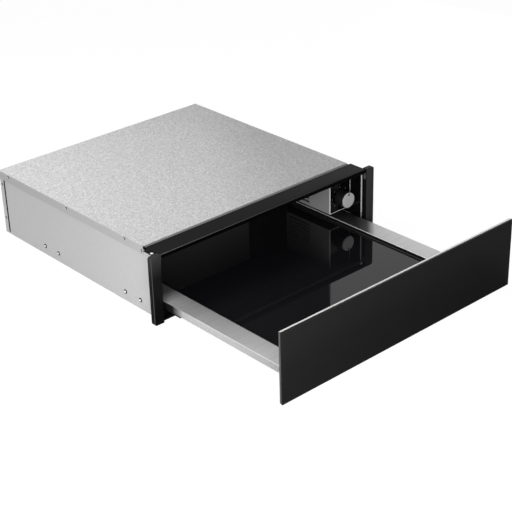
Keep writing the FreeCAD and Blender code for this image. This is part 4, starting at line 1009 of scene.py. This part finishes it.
def solids_of(node: str) -> list[tuple[Vector, Vector]]:
    """Give the lowest and highest corner of each separate solid of a CAD node.

    Args:
        node: the node's name.

    Returns:
        A pair of corners for each solid, from front to back.
    """
    mesh = bmesh.new()
    mesh.from_mesh(frame["nodes"][node].data)
    bmesh.ops.remove_doubles(mesh, verts=mesh.verts, dist=SAME_PLACE)
    left, found = set(mesh.verts), []
    while left:
        reached = {left.pop()}
        rim = set(reached)
        while rim:
            rim = {link.other_vert(vert) for vert in rim for link in vert.link_edges} - reached
            reached |= rim
        left -= reached
        places = [vert.co for vert in reached]
        found.append(tuple(Vector(pick(place[axis] for place in places) for axis in range(3))
                           for pick in (min, max)))
    mesh.free()
    return sorted(found, key=lambda box: (box[0].y, box[0].x, box[0].z))


@dataclass
class SheetMetal:
    """Folded sheets whose edges catch the light.

    Attributes:
        edge: rounding of a cut sheet's edge.
        fold: rounding of a thin sheet's fold.
        segments: steps of a rounding.
    """

    edge: float = 0.3 * MM
    fold: float = 0.9 * MM
    segments: int = 3

    def build(self) -> None:
        """Round the edges of the visible sheets."""
        for node in ("front_beam", "left_post", "right_post"):
            self.rounded(node, Body.HOUSING, self.edge)
        self.rounded("front_frame", Body.DRAWER, self.edge)
        for node in ("left_ledge", "right_ledge"):
            self.rounded(node, Body.DRAWER, self.fold)

    def rounded(self, node: str, body: Body, width: float) -> None:
        """Stand a rounded copy in for a CAD sheet.

        Args:
            node: the sheet's node.
            body: the body that it rides on.
            width: width of the rounding.
        """
        form = Form()
        form.copied(node)
        form.softened(width, self.segments)
        form.piece(node + "_sheet", body, finish_of(node), slot_of(node), [node], SMOOTH_BELOW)


@dataclass
class Fasteners:
    """Screws and rivets that show: a bright crown that stands proud of a flange whose black is
    painted shade round the head.

    Attributes:
        heights: height of a head for each node.
        crowns: radius of the bright crown as a share of the head's for each node.
        flange: height of the flange of painted shade as a share of the head's.
        bevel: radius of the flange's face as a share of the head's.
        shank: largest radius of a shank.
        dome: points of the crown's round part, as shares of its radius and of the head.
        steps: steps round a head.
    """

    heights: tuple[float, float, float] = (2.5 * MM, 1.6 * MM, 1.8 * MM)
    crowns: tuple[float, float, float] = (0.45, 0.36, 0.8)
    flange: float = 0.3
    bevel: float = 0.94
    shank: float = 1.5 * MM
    dome: tuple[Span, ...] = ((1.0, 0.7), (0.85, 0.88), (0.6, 0.97))
    steps: int = 28

    def build(self) -> None:
        """Build the heads node by node."""
        nodes = (("rail_rivets", Axis.X), ("case_screws", Axis.X), ("beam_screws", Axis.Z))
        for (node, axis), head, crown in zip(nodes, self.heights, self.crowns):
            self.heads(node, axis, head, crown)

    def heads(self, node: str, axis: Axis, head: float, crown: float) -> None:
        """Build the flanges and crowns of one node's fasteners.

        Args:
            node: the CAD node that they stand for.
            axis: the axis that they stand on.
            head: height of a head.
            crown: radius of a crown as a share of the head's.
        """
        # the dark flanges round each bright crown are painted shade
        dark, bright = Form(), Form()
        along = "XYZ".index(axis.name)
        rise = self.flange * head
        for low, high in solids_of(node):
            size, middle = high - low, (low + high) / 2
            radius = size[(along + 2) % 3] / 2
            flip = middle[along] < 0
            middle[along] = low[along] + head if flip else high[along] - head
            place = Matrix.Translation(middle) @ axis.turn(flip)
            grip, inner, shank = size[along] - head, crown * radius, min(self.shank, radius / 2)
            dark.turned([(0.0, -grip), (shank, -grip), (shank, 0.0), (radius, 0.0),
                         (radius, 0.6 * rise), (self.bevel * radius, rise), (0.0, rise)],
                        self.steps, place)
            bright.turned([(0.0, rise / 2), (inner, rise / 2),
                           *((out * inner, up * head) for out, up in self.dome), (0.0, head)],
                          self.steps, place)
        slot = slot_of(node)
        dark.piece(node + "_shade_flanges", Body.HOUSING, MATT_BLACK, slot, [node], SMOOTH_BELOW)
        bright.piece(node + "_crowns", Body.HOUSING, SCREW_STEEL, slot, smooth=SMOOTH_BELOW)


@dataclass
class Strips:
    """Black strips of painted shade that fill the narrow gaps between the sheets, where shade
    falls.

    Attributes:
        play: gap between surfaces that don't touch.
        seam: start and end of the strips of painted shade ahead of the back panel's flange.
        seam_height: foot and top of those strips.
        corner_shade_height: foot and top of the blocks of painted shade at the cover's front
            corners.
        liner_foot: foot of the strips of painted shade under the side liners.
        liner_end: Y where those strips end.
        post_shade_height: foot and top of the strips of painted shade behind the posts.
        post_shade_in: a strip's inner edge behind a post, from the side sheet's face.
    """

    play: float = 0.1 * MM
    seam: Span = (5.6 * MM, 1.2 * MM)
    seam_height: Span = (4.0 * MM, 126.0 * MM)
    corner_shade_height: Span = (134.5 * MM, 140.3 * MM)
    liner_foot: float = 34.2 * MM
    liner_end: float = 350.0 * MM
    post_shade_height: Span = (10.0 * MM, 130.0 * MM)
    post_shade_in: float = 1.1 * MM

    def build(self) -> None:
        """Build each kind of strip on both sides."""
        names = ("back_panel", "side_liners", "front_beam", "right_post")
        panel, liner, beam, post = (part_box(name) for name in names)
        play, side, inner, lap = self.play, panel[1].x, liner[1].x, panel[0].y
        # each strip is painted shade in a gap between sheets
        self.pair("seam_shade_strips",
                  (side - 4 * play, side + play),
                  (lap - self.seam[0], lap - self.seam[1]), self.seam_height)
        self.pair("corner_shade_blocks",
                  (side + 0.5 * play, side + 8 * play),
                  (beam[1].y + play, -3 * play), self.corner_shade_height)
        self.pair("liner_shade_strips",
                  (inner - 9.5 * play, inner - 0.5 * play),
                  (liner[0].y + play, self.liner_end),
                  (self.liner_foot, liner[0].z - 0.5 * play))
        self.pair("post_shade_strips",
                  (side + self.post_shade_in, post[0].x - play),
                  (post[1].y - 4 * play, post[1].y - play), self.post_shade_height)

    def pair(self, name: str, across: Span, along: Span, upright: Span) -> None:
        """Build one strip on the right and its twin on the left.

        Args:
            name: name of the piece.
            across: inner and outer X of the right strip.
            along: front and rear Y.
            upright: foot and top.
        """
        form = Form()
        for low, high in (across, (-across[1], -across[0])):
            form.block((low, along[0], upright[0]), (high, along[1], upright[1]))
        form.piece(name, Body.HOUSING, MATT_BLACK, "seal_rubber")


@dataclass
class RotaryControl:
    """Knob with its cap and pointer, and the marks printed round it.

    Attributes:
        pointer_out: pointer from the knob's axis.
        pointer_radius: radius of the pointer.
        pointer_face: radius of the pointer's face as a share of its own.
        pointer_sunk: depth of the pointer in the cap.
        pointer_proud: height of the pointer over the cap.
        cap_radius: radius of the cap's turned rim.
        cap_rim: rounding of the rim.
        cap_steps: steps round the cap.
        mark_out: marks from the knob's axis.
        mark_radius: radius of a mark.
        mark_thick: half of a mark's thickness.
        mark_angles: places of the marks in degrees, counted from the right.
        axis: middle of the cap.
        face: Y of the cap's face.
    """

    pointer_out: float = 12.4 * MM
    pointer_radius: float = 2.3 * MM
    pointer_face: float = 0.85
    pointer_sunk: float = 0.15 * MM
    pointer_proud: float = 0.2 * MM
    cap_radius: float = 16.2 * MM
    cap_rim: float = 0.5 * MM
    cap_steps: int = 64
    mark_out: float = 21.7 * MM
    mark_radius: float = 0.9 * MM
    mark_thick: float = 0.08 * MM
    mark_angles: tuple[float, ...] = (42.0, 90.0, 135.0, 180.0, 225.0)
    axis: Vector = field(init=False)
    face: float = field(init=False)

    def build(self) -> None:
        """Build the cap, the pointer and the marks."""
        low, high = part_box("knob_cap")
        self.axis = (low + high) / 2
        self.face = low.y
        self.cap(low, high)
        self.pointer()
        self.marks()

    def seat(self, out: float, angle: float, level: float) -> Matrix:
        """Give the place of a small form in front of the control.

        Args:
            out: distance from the axis.
            angle: place round the axis in degrees.
            level: Y of the form's foot.

        Returns:
            The form's matrix, pointing to the front.
        """
        turn = math.radians(angle)
        spot = Vector((self.axis.x + out * math.cos(turn), level,
                       self.axis.z + out * math.sin(turn)))
        return Matrix.Translation(spot) @ Axis.Y.turn(flip=True)

    def cap(self, low: Vector, high: Vector) -> None:
        """Build the turned cap with a rounded rim.

        Args:
            low: lowest corner of the CAD cap.
            high: its highest corner.
        """
        radius, depth = min(self.cap_radius, (high.x - low.x) / 2), high.y - low.y
        rim, soft = self.cap_rim, 0.3 * self.cap_rim
        outline = [(0.0, 0.0), (radius - rim, 0.0), (radius, rim), (radius, depth - rim),
                   (radius - soft, depth - soft), (radius - rim, depth),
                   (radius - 2 * rim, depth), (0.0, depth)]
        form = Form()
        form.turned(outline, self.cap_steps, self.seat(0.0, 0.0, high.y))
        form.piece("knob_cap_turned", Body.KNOB, CAP_STEEL, "bright_trim", ["knob_cap"],
                   SMOOTH_BELOW)

    def pointer(self) -> None:
        """Build the dark dot on the cap."""
        radius, sunk, proud = self.pointer_radius, self.pointer_sunk, self.pointer_proud
        outline = [(0.0, -sunk), (radius, -sunk), (radius, proud / 2),
                   (self.pointer_face * radius, proud), (0.0, proud)]
        form = Form()
        form.turned(outline, 20, self.seat(self.pointer_out, 90.0, self.face))
        form.piece("knob_pointer", Body.KNOB, MATT_BLACK, "knob_plastic", smooth=SMOOTH_BELOW)

    def marks(self) -> None:
        """Build the printed dots round the knob."""
        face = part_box("control_panel")[0].y
        radius, thick = self.mark_radius, self.mark_thick
        outline = [(0.0, -thick), (radius, -thick), (radius, thick), (0.0, thick)]
        form = Form()
        for angle in self.mark_angles:
            form.turned(outline, 16, self.seat(self.mark_out, angle, face))
        form.piece("dial_marks", Body.HOUSING, PRINT, "bright_trim")


def placed(name: str, data: bpy.types.ID) -> bpy.types.Object:
    """Put new data into the scene.

    Args:
        name: the object's name.
        data: its mesh, lamp or camera.

    Returns:
        The object.
    """
    item = bpy.data.objects.new(name, data)
    bpy.context.scene.collection.objects.link(item)
    return item


@dataclass(frozen=True)
class Lamp:
    """A soft square lamp.

    Attributes:
        name: the lamp's name.
        place: where it stands.
        aim: the point that it faces.
        size: its side in metres.
        power: its power in watts.
    """

    name: str
    place: Point
    aim: Point
    size: float
    power: float

    def build(self) -> None:
        """Add the lamp, which neither gloss nor the camera sees."""
        data = bpy.data.lights.new(self.name, "AREA")
        data.size = self.size
        data.energy = self.power
        item = placed(self.name, data)
        item.visible_glossy = False
        item.visible_camera = False
        item.location = self.place
        item.rotation_mode = "QUATERNION"
        facing = Vector(self.aim) - Vector(self.place)
        item.rotation_quaternion = facing.to_track_quat("-Z", "Y")


@dataclass(frozen=True)
class Floor:
    """The pale floor; to the camera it is almost white and keeps a soft shadow.

    Attributes:
        half: half of its side.
        drop: how far it lies below the object.
        colour: its colour.
        mirrored: brightness that gloss sees, along Y; painted shade that darkens it near the
            object's front.
        glow: brightness of the part that the camera sees.
        seen: share of that part.
    """

    half: float = 12.0
    drop: float = 0.4 * MM
    colour: Colour = (0.6, 0.6, 0.6)
    mirrored: Ramp = Ramp(0.72, 0.5, -0.6, -0.44)
    glow: float = 1.08
    seen: float = 0.9

    def build(self) -> None:
        """Add the floor as part of the stage."""
        form = bmesh.new()
        bmesh.ops.create_grid(form, x_segments=1, y_segments=1, size=self.half)
        bmesh.ops.translate(form, vec=(0.0, 0.0, -self.drop), verts=form.verts)
        data = bpy.data.meshes.new("floor")
        form.to_mesh(data)
        form.free()
        data.materials.append(self.material())
        placed("floor", data)

    def material(self) -> bpy.types.Material:
        """Make the floor's material.

        Returns:
            The material.
        """
        graph = Graph("pale floor")
        path = graph.add("ShaderNodeLightPath").outputs
        # painted shade: the floor as gloss sees it darkens near the object's front
        mirrored = self.mirrored.over(graph, graph.along("Y"))
        graph.tone(self.colour, graph.chosen(path["Is Glossy Ray"], 1.0, mirrored))
        graph.feed(graph.shader, Roughness=0.9, Specular_IOR_Level=0.0)
        glow = graph.feed(graph.add("ShaderNodeEmission"), Color=(1.0, 1.0, 1.0, 1.0),
                          Strength=self.glow)
        mix = graph.add("ShaderNodeMixShader")
        sources = (graph.product(path["Is Camera Ray"], self.seen), graph.shader.outputs[0],
                   glow.outputs[0])
        for source, socket in zip(sources, mix.inputs):
            graph.link(source, socket)
        graph.feed(graph.tree.nodes["Material Output"], Surface=mix.outputs[0])
        return graph.material


MIDDLE = (0.0, 0.1, 0.05)


@dataclass
class Studio:
    """Camera, lamps, world and floor.

    Attributes:
        azimuth: camera's azimuth in degrees.
        elevation: camera's elevation in degrees.
        roll: camera's roll in degrees.
        distance: camera from its target.
        target: point in the middle of the picture.
        lens: focal length in millimetres.
        sensor: width of the sensor in millimetres.
        clip: nearest and farthest distance that the camera sees.
        ambient: level of the even light from all sides.
        dark_side: level of the dark flags that gloss sees.
        flags: start and end of each flag in degrees, from the back (+Y) to the right.
        flag_top: height of the flags on a sphere of radius 1.
        lamps: the lamps.
    """

    azimuth: float = -41.341
    elevation: float = 27.51
    roll: float = -1.636
    distance: float = 2.65185
    target: Point = (0.009704, 0.0, 0.019346)
    lens: float = 93.52
    sensor: float = 36.0
    clip: Span = (0.05, 50.0)
    ambient: float = 0.15
    dark_side: float = 0.05
    flags: tuple[Span, ...] = ((-24.0, 44.95), (-180.0, -95.0))
    flag_top: float = 0.75
    lamps: tuple[Lamp, ...] = (
        Lamp("front left lamp", (-0.9, -0.8, 0.45), MIDDLE, 0.8, 14.6),
        Lamp("top lamp", (-0.35, 0.35, 1.0), (-0.35, 0.35, 0.0), 0.4, 5.0),
        Lamp("rear lamp", (-0.4, 1.0, 0.8), MIDDLE, 0.8, 5.3),
        Lamp("right lamp", (1.6, 0.4, 0.4), MIDDLE, 1.2, 2.5),
    )

    def build(self) -> None:
        """Set up everything that isn't part of the object."""
        self.camera()
        self.world()
        for lamp in self.lamps:
            lamp.build()
        Floor().build()
        bpy.context.scene.view_settings.view_transform = "Standard"

    def camera(self) -> None:
        """Place the camera at the photograph's angle."""
        angles = (self.azimuth, self.elevation, self.roll)
        turn, lift, roll = (math.radians(angle) for angle in angles)
        back = Vector((math.sin(turn) * math.cos(lift), -math.cos(turn) * math.cos(lift),
                       math.sin(lift)))
        right = Vector((math.cos(turn), math.sin(turn), 0.0))
        up = back.cross(right)
        right, up = (math.cos(roll) * right + math.sin(roll) * up,
                     math.cos(roll) * up - math.sin(roll) * right)
        data = bpy.data.cameras.new("camera")
        data.lens, data.sensor_width = self.lens, self.sensor
        data.clip_start, data.clip_end = self.clip
        item = placed("camera", data)
        basis = Matrix((right, up, back)).transposed().to_4x4()
        item.matrix_world = Matrix.Translation(Vector(self.target) + back * self.distance) @ basis
        bpy.context.scene.camera = item

    def world(self) -> None:
        """White to the camera, an even grey to diffuse surfaces, dark flags to gloss."""
        world = bpy.data.worlds.new("studio")
        bpy.context.scene.world = world
        world.use_nodes = True
        world.node_tree.nodes.clear()
        nodes = Nodes(world.node_tree)
        path = nodes.add("ShaderNodeLightPath").outputs
        glossy = nodes.larger(path["Is Glossy Ray"], path["Is Transmission Ray"])
        others = nodes.product(nodes.calculate("SUBTRACT", 1.0, glossy), self.ambient)
        level = nodes.calculate("ADD", nodes.product(glossy, self.mirrored(nodes)), others)
        seen = path["Is Camera Ray"]
        hidden = nodes.calculate("SUBTRACT", 1.0, seen)
        level = nodes.calculate("ADD", seen, nodes.product(hidden, level))
        light = nodes.feed(nodes.add("ShaderNodeBackground"), Color=(1.0, 1.0, 1.0, 1.0),
                           Strength=level)
        nodes.feed(nodes.add("ShaderNodeOutputWorld"), Surface=light.outputs[0])

    def mirrored(self, nodes: Nodes) -> Socket:
        """Give the level that gloss sees, which drops inside the flags.

        Args:
            nodes: the world's nodes.

        Returns:
            The level.
        """
        parts = nodes.add("ShaderNodeSeparateXYZ")
        nodes.feed(parts, Vector=nodes.add("ShaderNodeTexCoord").outputs["Generated"])
        angle = nodes.calculate("ARCTAN2", parts.outputs["X"], parts.outputs["Y"])
        inside = 0.0
        for start, end in self.flags:
            after = nodes.calculate("GREATER_THAN", angle, math.radians(start))
            before = nodes.calculate("LESS_THAN", angle, math.radians(end))
            inside = nodes.calculate("ADD", inside, nodes.product(after, before))
        below = nodes.calculate("LESS_THAN", parts.outputs["Z"], self.flag_top)
        drop = nodes.product(nodes.product(inside, below), 1.0 - self.dark_side)
        return nodes.calculate("SUBTRACT", 1.0, drop)


def dress_nodes() -> None:
    """Give each CAD node that still shows its finish."""
    for node, item in frame["nodes"].items():
        finish = finish_of(node).material()
        for holder in item.material_slots:
            holder.material = finish
        if not item.material_slots:
            item.data.materials.append(finish)


def main() -> None:
    """Build the pieces, dress the nodes and set up the studio."""
    logging.basicConfig(level=logging.INFO, format="%(message)s")
    SheetMetal().build()
    Fasteners().build()
    Strips().build()
    RotaryControl().build()
    dress_nodes()
    Studio().build()


if __name__ == "__main__":
    main()
